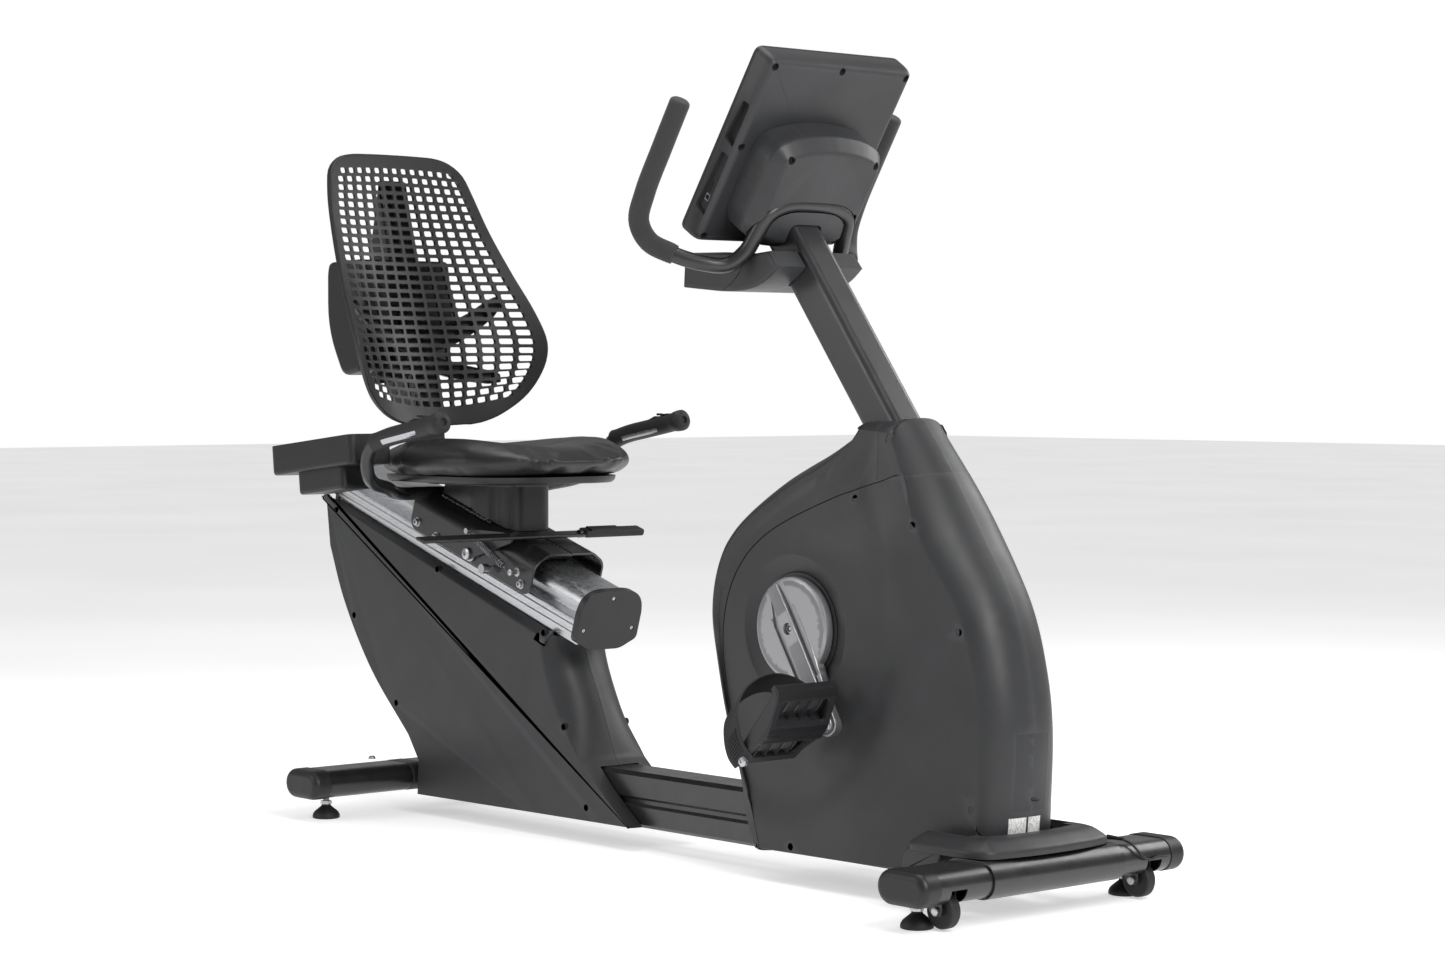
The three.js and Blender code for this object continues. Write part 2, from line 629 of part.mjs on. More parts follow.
function buildFrontSkirt() {
  const plan = [
    [624, -120], [640, -146], [700, -152], [770, -152], [800, -140], [815, -100], [818, 0],
    [815, 100], [800, 140], [770, 152], [700, 152], [640, 146], [624, 120],
  ];
  const sleeveTop = STABILISER.z + (STABILISER.height + 7) / 2 + GAP;
  const ring = (z, soften) => inset(plan, soften).map(([u, v]) => [u, v, z]);
  const apron = loft([
    ring(sleeveTop, 0),
    ring(sleeveTop + 8, 0),
    ring(sleeveTop + 20, 8),
    ring(sleeveTop + 30, 24),
  ]);
  const wingSide = [[625, 62], [690, 62], [706, 84], [714, 100], [650, 103], [632, 96]];
  const wing = (side) => prismY(wingSide, side < 0 ? -148 : 117, side < 0 ? -117 : 148);
  const grown = SIDES.map(([, side]) => shroudSolid(side, 1.8, -1));
  const skirt = cut(
    join(apron, wing(-1), wing(1)),
    ...grown,
    beamClearance(),
    box(600, 716, -112, 112, 90, 140),
    box(698, 741, -116.5, 116.5, 100, 140),
  );
  add(bike, "front_skirt", skirt, SHELL);
}

// ---------------------------------------------------------------- drive
function buildCrankBracket() {
  const plate = [
    [300, 137], [585, 137], [560, 300], [530, 305],
    [388, 452], [365, 468], [315, 468], [296, 440],
  ];
  const bores = [CRANK, FLYWHEEL].map(({ x, z, axle }) => discY(x, z, axle + 0.4, -90, 90));
  const bracket = cut(
    join(
      prismY(plate, -62, -56),
      prismY(plate, 56, 62),
      box(300, 585, -62, 62, 136.4, 142),
      discY(CRANK.x, CRANK.z, 28, -72, -55),
      discY(CRANK.x, CRANK.z, 28, 55, 72),
      discY(FLYWHEEL.x, FLYWHEEL.z, 20, -68, -55),
      discY(FLYWHEEL.x, FLYWHEEL.z, 20, 55, 68),
    ),
    ...bores,
  );
  add(bike, "crank_bracket", bracket, PAINT);
}

function buildMast() {
  const bore = [roundRect(MAST.depth - 2 * WALL, MAST.width - 2 * WALL, 11)];
  add(bike, "mast", mastLength(-MAST.down, MAST.up, 0, bore), PAINT);
  const [bx, bz] = mastAxis(-MAST.down - GAP);
  const a = radians(MAST.leanDeg);
  const along = [Math.cos(a), Math.sin(a)];
  const topOf = (reach) => [bx + along[0] * reach, bz + along[1] * reach];
  const base = [[648, 136.4], [706, 136.4], [706, 470], topOf(34), topOf(-34), [648, 430]];
  const hollow = inset(base, WALL).map(([x, z]) => [x, z < 200 ? 120 : z]);
  add(bike, "mast_base", cut(prismY(base, -28, 28), prismY(hollow, -28 + WALL, 28 - WALL)), PAINT);
}

const spokedDisc = (x, z, radius, y0, y1) => {
  const holes = [0, 1, 2, 3, 4].map((i) => {
    const a = (2 * Math.PI * i) / 5;
    const [u, v] = [radius * 0.58 * Math.cos(a), radius * 0.58 * Math.sin(a)];
    return discY(x + u, z + v, radius * 0.2, y0 - 1, y1 + 1, 8);
  });
  return cut(discY(x, z, radius, y0, y1, 28), ...holes);
};

function buildDrive() {
  const axle = join(
    discY(CRANK.x, CRANK.z, CRANK.axle, -HUB.inner + GAP, HUB.inner - GAP),
    spokedDisc(CRANK.x, CRANK.z, PULLEY_RADIUS, -18, 2),
  );
  add(bike, "crank_axle_pulley", axle, STEEL);
  const flywheel = join(
    spokedDisc(FLYWHEEL.x, FLYWHEEL.z, FLYWHEEL.radius, 14, 46),
    discY(FLYWHEEL.x, FLYWHEEL.z, FLYWHEEL.pulley, -18, 2),
    discY(FLYWHEEL.x, FLYWHEEL.z, FLYWHEEL.axle, -72, 72),
  );
  add(bike, "flywheel", flywheel, IRON);
}

// The belt's path round both pulleys, each radius grown by the same amount.
function beltPath(grow) {
  const dx = FLYWHEEL.x - CRANK.x;
  const dz = FLYWHEEL.z - CRANK.z;
  const heading = Math.atan2(dz, dx);
  const [big, small] = [PULLEY_RADIUS + grow, FLYWHEEL.pulley + grow];
  const spread = Math.acos((big - small) / Math.hypot(dx, dz));
  const arc = (x, z, r, from, to, steps) =>
    Array.from({ length: steps + 1 }, (_, i) => {
      const a = from + ((to - from) * i) / steps;
      return [x + r * Math.cos(a), z + r * Math.sin(a)];
    });
  return [
    ...arc(CRANK.x, CRANK.z, big, heading + spread, heading + 2 * Math.PI - spread, 30),
    ...arc(FLYWHEEL.x, FLYWHEEL.z, small, heading - spread, heading + spread, 10),
  ];
}
function buildBelt() {
  const slack = 1.2;
  const loop = prismY(beltPath(slack + BELT.thickness), BELT.y0, BELT.y1, [beltPath(slack)]);
  add(bike, "drive_belt", loop, RUBBER);
}

// A crank arm with its cover disc and pedal spindle, hanging straight down on the rider's right.
function crankArm() {
  const tip = -CRANK.length;
  const half = [[26, 30], [24, -40], [17, tip + 6], [12, tip - 12], [3, tip - 18]];
  const steps = [[RECESS_FLOOR + 14.5, 0], [RECESS_FLOOR + 24, 0], [RECESS_FLOOR + 32, 5]];
  const arm = loft(steps.map(([y, soften]) => inset(bothSides(half), soften).map(([x, z]) => [x, -y, z])));
  return join(
    arm,
    discY(0, 0, CRANK.disc, -RECESS_FLOOR - 18, -RECESS_FLOOR - 1, 40),
    discY(0, -CRANK.length, PEDAL.spindle, -PEDAL.outer + 12, -RECESS_FLOOR - 20, 16),
    discY(0, 0, HUB.radius, -RECESS_FLOOR - 10, -HUB.inner, 20),
  );
}

function pedalWithStrap() {
  const { inner, outer, spindle } = PEDAL;
  const web = [[-58, 14], [74, 14], [70, 4], [30, -10], [12, -16], [-12, -16], [-52, 0]];
  const arch = (grow) => [
    [-outer + 4 - grow, 12], [-outer + 6 - grow, 52], [-outer + 26, 76 + grow], [-outer + 62, 88 + grow],
    [-inner - 34, 84 + grow], [-inner - 8 + grow, 62], [-inner - 3 + grow, 12],
  ];
  const strap = cut(
    prismX(arch(0), -22, 20),
    prismX(arch(-3.4).map(([y, z]) => [y, z === 12 ? 0 : z]), -30, 30),
  );
  return cut(
    join(
      box(-84, 76, -outer, -inner, 12, 17),
      prismY(web, -outer, -outer + 5),
      prismY(web, -inner - 5, -inner),
      box(70, 78, -outer, -inner, 10, 26),
      box(-86, -70, -outer + 8, -outer + 46, 6, 22),
      discY(0, 0, 14, -outer, -inner, 20),
      strap,
    ),
    discY(0, 0, spindle + 0.4, -outer + 8, -inner + 20, 20),
    box(-64, -14, -outer + 18, -inner - 18, 5, 30),
    box(14, 60, -outer + 18, -inner - 18, 5, 30),
  );
}

function buildCrankset() {
  const angle = radians(CRANK.angleDeg);
  for (const [hand, side] of SIDES) {
    const upright = side < 0 ? crankArm() : mirrored(crankArm());
    const turn = side < 0 ? -angle : Math.PI - angle;
    const arm = add(bike, `crank_arm_${hand}`, upright, CRANK_PAINT);
    arm.position.set(CRANK.x, 0, CRANK.z);
    arm.rotation.y = turn;
    const pedal = add(bike, `pedal_${hand}`, side < 0 ? pedalWithStrap() : mirrored(pedalWithStrap()), TRIM);
    pedal.position.set(
      CRANK.x - side * CRANK.length * Math.sin(angle),
      0,
      CRANK.z + side * CRANK.length * Math.cos(angle),
    );
    pedal.rotation.y = radians(PEDAL.tiltDeg);
  }
}

// ---------------------------------------------------------------- console
const consoleRing = (x, soften, width = CONSOLE.width, height = CONSOLE.height) =>
  inset(roundRect(width, height, 18), soften).map(([y, z]) => [x, y, z]);

function buildConsole() {
  const { thickness, width, height } = CONSOLE;
  const shell = cut(
    loft([consoleRing(-thickness + 10, 0), consoleRing(-14, 2), consoleRing(-4, 7), consoleRing(0, 12)]),
    loft([consoleRing(-thickness - 5, 5), consoleRing(-15, 6), consoleRing(-WALL - 2, 16)]),
    box(-30, 20, -40, 40, -120, -40),
  );
  add(head, "console_back_shell", shell, SHELL);
  const frame = cut(
    loft([consoleRing(-thickness, 3), consoleRing(-thickness + 4, 0), consoleRing(-thickness + 9.6, 0)]),
    box(-70, 0, -width / 2 + 16, width / 2 - 16, -height / 2 + 22, height / 2 - 16),
  );
  add(head, "console_bezel", frame, TRIM);
  const [halfWidth, halfHeight] = [width / 2, height / 2];
  const [front, rear] = [-thickness + 1, -thickness + 8];
  const screen = box(front, rear, -halfWidth + 16.4, halfWidth - 16.4, -halfHeight + 22.4, halfHeight - 16.4);
  add(head, "console_screen", screen, GLASS);
}

const toHead = (geometry) =>
  geometry.translate(-CONSOLE.x, 0, -CONSOLE.z).rotateY(-radians(CONSOLE.leanDeg));

function buildConsoleCovers() {
  const half = [[52, 66], [96, 58], [122, 44], [127, 20], [127, -104], [112, -128], [70, -146], [34, -150]];
  const ring = (x, soften) => inset(bothSides(half), soften).map(([y, z]) => [x, y, z]);
  const cover = cut(
    loft([ring(GAP, 0), ring(44, 0), ring(58, 6), ring(68, 16)]),
    loft([ring(-5, 4), ring(42, 4), ring(63, 18)]),
    toHead(mastLength(0, MAST.up + 3, 1)),
    toHead(handlebarTube(BAR.tube + 0.8)),
  );
  add(head, "console_rear_cover", cover, SHELL);
  const tray = [
    [48, 1049], [44, 990], [150, 981], [214, 984], [250, 996],
    [285, 1020], [262, 1046], [226, 1043], [150, 1047],
  ];
  const lower = cut(
    prismY(tray, -100, 100),
    prismY([[56, 1070], [53, 998], [150, 990], [205, 992], [208, 1070]], -94, 94),
    mastLength(0, MAST.up, 1),
    handlebarTube(BAR.tube + 0.8),
  );
  add(bike, "console_lower_cover", lower, SHELL);
}

// Handlebar: one tube from grip to grip, its cross run hidden inside the console's rear cover.
const BAR = { tube: 13.5, grip: 17.5, steps: 52, sides: 8 };
const BAR_TIP = [203, -243, 1284];
const BAR_HALF = [
  [160, -243, 1216], [115, -243, 1142], [97, -241, 1096], [108, -228, 1062], [140, -200, 1040],
  [172, -165, 1026], [196, -130, 1024], [216, -108, 1046], [232, -100, 1074], [250, -90, 1106],
  [258, -60, 1122], [260, 0, 1126],
];
const acrossBike = (points) => points.map(([x, y, z]) => [x, -y, z]).reverse();
const handlebarTube = (radius) =>
  bentTube(
    [BAR_TIP, ...BAR_HALF, ...acrossBike([BAR_TIP, ...BAR_HALF.slice(0, -1)])],
    radius,
    BAR.steps,
    BAR.sides,
  );

function buildHandlebar() {
  add(bike, "handlebar", handlebarTube(BAR.tube), PAINT);
  const sleeve = bentTube([[207, -243, 1290], ...BAR_HALF.slice(0, 5)], BAR.grip, 14, 10);
  const grip = cut(sleeve, handlebarTube(BAR.tube + 0.6));
  add(bike, "foam_grip_right", grip, FOAM);
  add(bike, "foam_grip_left", mirrored(grip), FOAM);
}

// ---------------------------------------------------------------- seat carriage
function buildCarriage() {
  const { rear, front, top, skirt, halfWidth, wall } = CARRIAGE;
  const outer = [[52, top], [76, top - 16], [halfWidth, top - 28], [halfWidth, skirt]];
  const inner = [
    [50, top - wall],
    [73, top - wall - 15],
    [halfWidth - wall, top - wall - 26],
    [halfWidth - wall, skirt - 2],
  ];
  const hood = cut(prismX(bothSides(outer), rear, front), prismX(bothSides(inner), rear - 1, front + 1));
  const corner = (s, w, turn) => box(-24, 24, -120, 120, -24, 24).rotateY(turn).translate(s, 0, w);
  const post = box(-472, -308, -60, 60, top - 2, 220);
  const above = toSlope(box(-1200, 200, -300, 300, 640, 1200));
  const seatPlate = toSlope(box(-745, -480, -64, 64, 634, 640));
  const rollers = [ROLLER.rearS, ROLLER.frontS];
  const mounts = rollers.flatMap((s) => [
    box(s - 9, s + 9, -42, -ROLLER.halfLength - 1.5, ROLLER.w - 9, top - 1),
    box(s - 9, s + 9, ROLLER.halfLength + 1.5, 42, ROLLER.w - 9, top - 1),
    discY(s, ROLLER.w, 4, -35, 35, 10),
  ]);
  const body = cut(
    join(hood, post),
    above,
    box(-472 + wall, -308 - wall, -60 + wall, 60 - wall, top - 8, 240),
    corner(rear - 12, top + 14, radians(45)),
    corner(rear - 6, -14, radians(45)),
    corner(front + 14, -20, radians(45)),
    ...rollers.map((s) => box(s - 16, s + 16, -ROLLER.halfLength - 3, ROLLER.halfLength + 3, 40, top + 3)),
    toSlope(sideHandleTube(13.2)),
  );
  const frame = join(body, seatPlate, ...mounts, rod([-184, -halfWidth + 1, 29], [-184, -98, 29], 4));
  const drilled = cut(
    frame,
    discY(LEVER.pivotS, LEVER.pivotW, 5.4, -90, -70, 16),
    discY(-258, 9, 5.4, -90, -70, 16),
  );
  add(slope, "carriage_frame", drilled, PAINT);
}

function buildRollers() {
  const { radius, halfLength, w } = ROLLER;
  const bore = 4.4;
  const profile = [
    [bore, -halfLength],
    [radius - 1, -halfLength],
    [radius, -halfLength + 1],
    [radius, halfLength - 1],
    [radius - 1, halfLength],
    [bore, halfLength],
    [bore, -halfLength],
  ];
  for (const [end, s] of [["rear", ROLLER.rearS], ["front", ROLLER.frontS]]) {
    const roller = add(slope, `carriage_roller_${end}`, lathe(profile, 16), TRIM);
    roller.position.set(s, 0, w);
  }
}

// Seat release: a bar across the carriage on a plate that turns on the right cheek and draws the lock pin.
function buildLever() {
  const { s, w, pivotS, pivotW, rightY, leftY } = LEVER;
  const plate = [
    [pivotS - 12, pivotW - 6], [pivotS + 4, pivotW - 13], [pivotS + 16, pivotW - 2], [s + 12, w - 8],
    [s + 12, w + 3], [s - 14, w + 3], [pivotS + 14, pivotW + 52], [pivotS - 8, pivotW + 50],
  ];
  const lever = join(
    prismY(plate, -92, -88),
    box(s - 12, s + 12, rightY, leftY, w - 3, w + 3),
    rod([s, leftY - 150, w], [s, leftY, w], 7.5),
    box(s - 11, s + 11, leftY - 125, leftY - 55, w + 4, w + 10.5),
    discY(pivotS, pivotW, 5, -92, -79, 16),
    discY(pivotS, pivotW, 11, -99, -90, 16),
    rod([pivotS, -90, 59], [pivotS, -99, 59], 3.5),
  );
  add(slope, "seat_lever", lever, PAINT);
  const pin = join(discY(-258, 9, 5, -104, -62, 16), discY(-258, 9, 9, -108, -94.5, 16));
  add(slope, "lock_pin", pin, STEEL);
}

function buildLeverSpring() {
  const hooks = [[-184, 29], [LEVER.pivotS, 59]];
  const [a, b] = hooks;
  const span = Math.hypot(b[0] - a[0], b[1] - a[1]);
  const along = [(b[0] - a[0]) / span, (b[1] - a[1]) / span];
  const at = (d, y) => [a[0] + along[0] * d, y, a[1] + along[1] * d];
  const coil = join(
    rod(at(16, -99), at(span - 26, -99), 6.5, 10),
    rod(at(5, -101.5), at(20, -101.5), 1.4, 6),
    rod(at(span - 30, -101.5), at(span - 6, -101.5), 1.4, 6),
  );
  add(slope, "lever_spring", coil, STEEL);
}

// ---------------------------------------------------------------- seat
function buildSeat() {
  const { rear, front, halfWidth, bottom } = SEAT;
  const pan = [
    [rear + 30, -150], [rear + 10, -90], [rear - 52, -60], [rear - 52, 60],
    [rear + 10, 90], [rear + 30, 150], [-560, 178], [-440, 160],
    [-385, 90], [-385, -90], [-440, -160], [-560, -178],
  ];
  add(bike, "seat_pan", prismZ(pan, 641, 654), TRIM);

  const halfAt = [
    [rear, 120], [rear + 30, 170], [-640, 205], [-560, halfWidth],
    [-480, 210], [-420, 190], [-375, 140], [front, 70],
  ];
  const stations = [rear, rear + 14, rear + 50, -690, -620, -550, -480, -430, -395, -368, front];
  const across = [-1, -0.92, -0.7, -0.4, 0, 0.4, 0.7, 0.92, 1];
  const rim = [[rear, 706], [-640, 732], [-540, 742], [-450, 724], [-390, 700], [front, 682]];
  const middle = [[rear, 700], [-620, 700], [-520, 704], [-430, 706], [-380, 698], [front, 680]];
  const topAt = (x, t) => {
    const sag = graded(middle, x);
    const lift = graded(rim, x) - sag;
    const edge = Math.abs(t) > 0.95 ? -22 : 0;
    return sag + lift * t * t + edge;
  };
  const bottomAt = (x, t) => bottom + (x > -400 ? 6 : 0) + 26 * Math.max(0, Math.abs(t) - 0.7);
  const grid = (height) => stations.map((x) => across.map((t) => [x, t * graded(halfAt, x), height(x, t)]));
  add(bike, "seat_cushion", slab(grid(topAt), grid(bottomAt)), PADDING);
}

const backHalf = [
  [745, 70], [765, 132], [800, 180], [850, 213], [900, 226], [960, 222],
  [1040, 205], [1120, 187], [1200, 170], [1240, 154], [1262, 128], [1272, 84],
];
const backCentre = (z) => -790 - 0.298 * (z - 750);
const backWrap = (z) => graded([[745, 0.0012], [900, 0.0019], [1050, 0.0012], [1272, 0.0003]], z);

function buildBackrest() {
  const { bottom, top, thickness } = BACK;
  const rows = 15;
  const heights = Array.from({ length: rows + 1 }, (_, i) => {
    const t = i / rows;
    const spread = Math.cos(Math.PI * t) * (0.55 + 0.45 * Math.abs(2 * t - 1));
    return bottom + (top - bottom) * (0.5 - 0.5 * spread);
  });
  const across = [-1, -0.85, -0.6, -0.3, 0, 0.3, 0.6, 0.85, 1];
  const grid = (behind) =>
    heights.map((z) =>
      across.map((t) => {
        const y = t * graded(backHalf, z);
        return [backCentre(z) + backWrap(z) * y * y - behind, y, z];
      }),
    );
  add(bike, "backrest", slab(grid(0), grid(thickness)), TRIM);
}

function buildBackSupport() {
  const behind = (y, z, gap) => backCentre(z) + backWrap(z) * y * y - BACK.thickness - gap;
  const upright = prismY(
    [
      [behind(0, 1225, 3), 1225], [behind(0, 1225, 28), 1222], [-1012, 1080], [-1012, 930], [-940, 800],
      [-868, 700], [-852, 655], [-806, 655], [behind(0, 745, 5), 745], [behind(0, 900, 3), 900],
    ],
    -32,
    32,
  );
  const hub = [
    [-905, 1066], [-1012, 1062], [-1018, 1040], [-1018, 930],
    [-965, 838], [-905, 850], [-883, 950],
  ];
  const hollow = [[-880, 1060], [-1008, 1056], [-1013, 1038], [-1013, 932], [-962, 844], [-880, 850]];
  const arm = (side, stations, depth) =>
    loft(
      stations.map(([y, z, half]) =>
        [[z - half, 0], [z + half, 0], [z + half, depth], [z - half, depth]].map(([height, back]) => [
          behind(y, height, 5) - back,
          side * y,
          height,
        ]),
      ),
    );
  const high = [[24, 905, 22], [60, 915, 21], [95, 930, 20], [130, 950, 18], [160, 972, 16]];
  const low = [[24, 862, 18], [60, 852, 17], [95, 844, 16], [130, 838, 14]];
  const support = join(
    upright,
    cut(prismY(hub, -108, 108), prismY(hollow, -103, -33), prismY(hollow, 33, 103)),
    ...SIDES.flatMap(([, side]) => [arm(side, high, 20), arm(side, low, 16)]),
    box(-852, -806, -60, 60, 654.6, 664),
  );
  add(bike, "back_support", support, TRIM);
}

// Side handles: one bent tube under the seat with a rubber grip on each forward end.
const HANDLE_HALF = [
  [-412, -282, 754], [-500, -283, 738.5], [-560, -283, 728], [-608, -283, 715], [-632, -281, 690],
  [-645, -270, 658], [-668, -240, 640], [-690, -195, 630], [-725, -155, 620], [-744, -120, 616],
  [-744, -80, 616],
];
const sideHandleTube = (radius) =>
  bentTube([...HANDLE_HALF, ...acrossBike(HANDLE_HALF)], radius, 52, 8);

function buildSideHandles() {
  add(bike, "side_handle_tube", sideHandleTube(12.5), PAINT);
  const tip = [-395, -282, 757];
  const sleeve = join(
    bentTube([tip, ...HANDLE_HALF.slice(1, 4)], 17, 8, 12),
    rod([-396, -282, 756.8], [-420, -282.2, 752.6], 20, 12),
  );
  const grip = cut(sleeve, sideHandleTube(13.1), box(-470, -438, -290, -274, 759.5, 790));
  const rocker = join(
    rod([-454, -289, 764], [-454, -275, 764], 3.4, 12),
    box(-468.5, -439.5, -289, -275, 764.5, 768.5),
  );
  for (const [hand, side] of SIDES) {
    const placed = (geometry) => (side < 0 ? geometry : mirrored(geometry));
    add(bike, `side_grip_${hand}`, placed(grip), RUBBER);
    add(bike, `thumb_rocker_${hand}`, placed(rocker), TRIM);
  }
}

function buildAccessoryTray() {
  const upper = join(
    prismZ(shifted(roundRect(268, 96, 18), -790, -254), 660, 716),
    prismZ(shifted(roundRect(150, 74, 14), -782, -252), 618, 664),
  );
  const hollow = join(
    prismZ(shifted(roundRect(260, 88, 14), -790, -254), 664, 730),
    prismZ(shifted(roundRect(142, 66, 10), -782, -252), 622, 670),
  );
  const tilted = (g) => g.translate(790, 0, -690).rotateY(radians(-6)).translate(-790, 0, 693);
  add(bike, "accessory_tray", cut(tilted(cut(upper, hollow)), sideHandleTube(15)), TRIM);
}

// ---------------------------------------------------------------- lead
// A thin lead from under the skirt, over the front tube and back in beside the left transport wheel.
const LEAD = [
  [771, 166, 101.2], [790, 170, 101], [803, 173, 100.5], [817, 176, 96], [826, 180, 87], [831, 187, 77],
  [832, 196, 71], [832, 206, 69], [832, 216, 71], [832, 226, 72], [832, 236, 71], [831, 246, 70],
];
function buildLead() {
  const relief = LEAD.slice(0, 4);
  const lead = cut(bentTube(LEAD, 2, 40, 8), bentTube([[760, 164, 101.2], ...relief.slice(1)], 6.5, 12, 12));
  add(bike, "sensor_lead", lead, RUBBER);
  const boot = bentTube([[774, 168, 103], [790, 171, 102.6], [803, 174, 101.6]], 4, 6, 10);
  add(bike, "lead_strain_relief", boot, RUBBER);
}

buildFrame();
buildFrontStabiliser();
buildRearStabiliser();
buildEndCaps();
buildFeet();
buildTransportWheels();
buildHousing();
buildRearFootCover();
buildRail();
buildShroud();
buildInletPanel();
buildFrontSkirt();
buildCrankBracket();
buildMast();
buildDrive();
buildBelt();
buildCrankset();
buildConsole();
buildConsoleCovers();
buildHandlebar();
buildCarriage();
buildRollers();
buildLever();
buildLeverSpring();
buildSeat();
buildBackrest();
buildBackSupport();
buildSideHandles();
buildAccessoryTray();
buildLead();

export default bike;
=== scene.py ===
"""Looks for the recumbent exercise bike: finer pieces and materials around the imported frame.

Shapes are given in millimetres in one of three frames: BIKE (x forward, y to the rider's left, z up),
SLOPE (s along the seat rail towards its low end, w square to it) and HEAD (the leaning console).
"""

import math

import bmesh
import bpy
import numpy as np
from mathutils import Matrix, Vector


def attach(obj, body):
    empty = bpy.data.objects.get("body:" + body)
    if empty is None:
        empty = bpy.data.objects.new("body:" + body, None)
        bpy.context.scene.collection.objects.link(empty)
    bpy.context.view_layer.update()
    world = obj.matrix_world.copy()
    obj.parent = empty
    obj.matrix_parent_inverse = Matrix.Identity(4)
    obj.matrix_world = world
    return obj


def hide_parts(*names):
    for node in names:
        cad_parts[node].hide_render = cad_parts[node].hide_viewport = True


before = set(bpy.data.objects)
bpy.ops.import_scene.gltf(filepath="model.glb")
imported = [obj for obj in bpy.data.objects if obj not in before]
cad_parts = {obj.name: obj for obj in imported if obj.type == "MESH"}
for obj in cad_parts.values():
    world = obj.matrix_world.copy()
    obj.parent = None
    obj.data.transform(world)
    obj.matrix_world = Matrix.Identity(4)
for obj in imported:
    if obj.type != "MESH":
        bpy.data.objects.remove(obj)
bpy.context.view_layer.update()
radians = math.radians

SHIFT = 0.1252  # the row frame's origin is this far forward of the shapes' own
MM = Matrix.Scale(0.001, 4)
BIKE = Matrix.Translation((SHIFT, 0, 0)) @ MM


def turned(x, z, degrees):
    """A frame at (x, z) in millimetres, turned about Y."""
    return BIKE @ Matrix.Translation((x, 0, z)) @ Matrix.Rotation(radians(degrees), 4, "Y")


SLOPE = turned(-273, 397, 17.5)
HEAD = turned(245.3, 1206.1, 33.5)
CRANK = (340.0, 425.0)
CRANK_LENGTH = 175.0
WALL = 3  # thickness of the moulded covers
SHROUD_DEPTH = 115  # centre line to the shroud's side, where it stands out most
HOUSING_DEPTH = 75  # centre line to the rear housing's side
FLOOR_TUBES = (("front", 775, 69), ("rear", -830, 69))  # name, x and z of the centre
WHEEL_PLACE = (793, 223, 31.5)
FOOT_Y = 237
SIDES = (("right", -1), ("left", 1))


# ------------------------------------------------------------------ camera and stage
def look():
    camera = bpy.data.objects.new("camera", bpy.data.cameras.new("camera"))
    bpy.context.scene.collection.objects.link(camera)
    turn, pitch, roll = radians(48.5596), radians(1.8676), radians(0.0372)
    ahead = Vector((-math.sin(turn) * math.cos(pitch), math.cos(turn) * math.cos(pitch), -math.sin(pitch)))
    right = Vector((math.cos(turn), math.sin(turn), 0))
    up = right.cross(ahead)
    right, up = right * math.cos(roll) + up * math.sin(roll), up * math.cos(roll) - right * math.sin(roll)
    camera.matrix_world = Matrix((right, up, -ahead)).transposed().to_4x4()
    camera.location = (4.0712 + SHIFT, -3.5636, 0.8316)
    camera.data.sensor_width = 36
    camera.data.lens = 77.38
    camera.data.clip_end = 60
    bpy.context.scene.camera = camera


def light(name, place, target, size, power, tint=(1, 1, 1)):
    lamp = bpy.data.lights.new(name, "AREA")
    lamp.shape = "RECTANGLE"
    lamp.size, lamp.size_y = size
    lamp.energy = power
    lamp.color = tint
    ob = bpy.data.objects.new(name, lamp)
    ob.location = place
    ob.rotation_euler = (Vector(target) - Vector(place)).to_track_quat("-Z", "Y").to_euler()
    bpy.context.scene.collection.objects.link(ob)


def studio():
    world = bpy.data.worlds.new("studio")
    bpy.context.scene.world = world
    world.use_nodes = True
    tree = world.node_tree
    background = tree.nodes["Background"]
    background.inputs["Color"].default_value = (1, 1, 1, 1)
    seen = tree.nodes.new("ShaderNodeLightPath")
    level = tree.nodes.new("ShaderNodeMapRange")
    level.inputs["To Min"].default_value = 0.34
    level.inputs["To Max"].default_value = 1.0
    tree.links.new(seen.outputs["Is Camera Ray"], level.inputs["Value"])
    tree.links.new(level.outputs["Result"], background.inputs["Strength"])
    light("key", (3.6, -0.6, 2.6), (0.3, 0, 0.6), (1.4, 2.6), 105)
    light("fill", (-2.0, -3.8, 2.2), (-0.2, 0, 0.6), (2.4, 2.4), 42)
    light("rim", (1.2, 3.8, 2.6), (0.2, 0, 0.6), (2.6, 2.0), 75)
    light("top", (-0.1, 0, 4.0), (-0.1, 0, 0), (3.0, 2.0), 60)
    bpy.context.scene.view_settings.view_transform = "Standard"


# ------------------------------------------------------------------ outlines
def spline(points, count, loop=False):
    """Points evenly spaced along a centripetal Catmull-Rom curve through the given ones, in any dimension."""
    p = np.array(points, float)
    q = np.vstack([p[-1], p, p[:2]]) if loop else np.vstack([2 * p[0] - p[1], p, 2 * p[-1] - p[-2]])
    fine = []
    for i in range(1, len(q) - 2):
        a, b, c, d = q[i - 1 : i + 3]
        t0 = 0.0
        t1 = t0 + max(np.linalg.norm(b - a) ** 0.5, 1e-6)
        t2 = t1 + max(np.linalg.norm(c - b) ** 0.5, 1e-6)
        t3 = t2 + max(np.linalg.norm(d - c) ** 0.5, 1e-6)
        for t in np.linspace(t1, t2, 24, endpoint=False):
            a1 = ((t1 - t) * a + (t - t0) * b) / (t1 - t0)
            a2 = ((t2 - t) * b + (t - t1) * c) / (t2 - t1)
            a3 = ((t3 - t) * c + (t - t2) * d) / (t3 - t2)
            b1 = ((t2 - t) * a1 + (t - t0) * a2) / (t2 - t0)
            b2 = ((t3 - t) * a2 + (t - t1) * a3) / (t3 - t1)
            fine.append(((t2 - t) * b1 + (t - t1) * b2) / (t2 - t1))
    fine.append(p[0] if loop else p[-1])
    return resample(fine, count, loop)


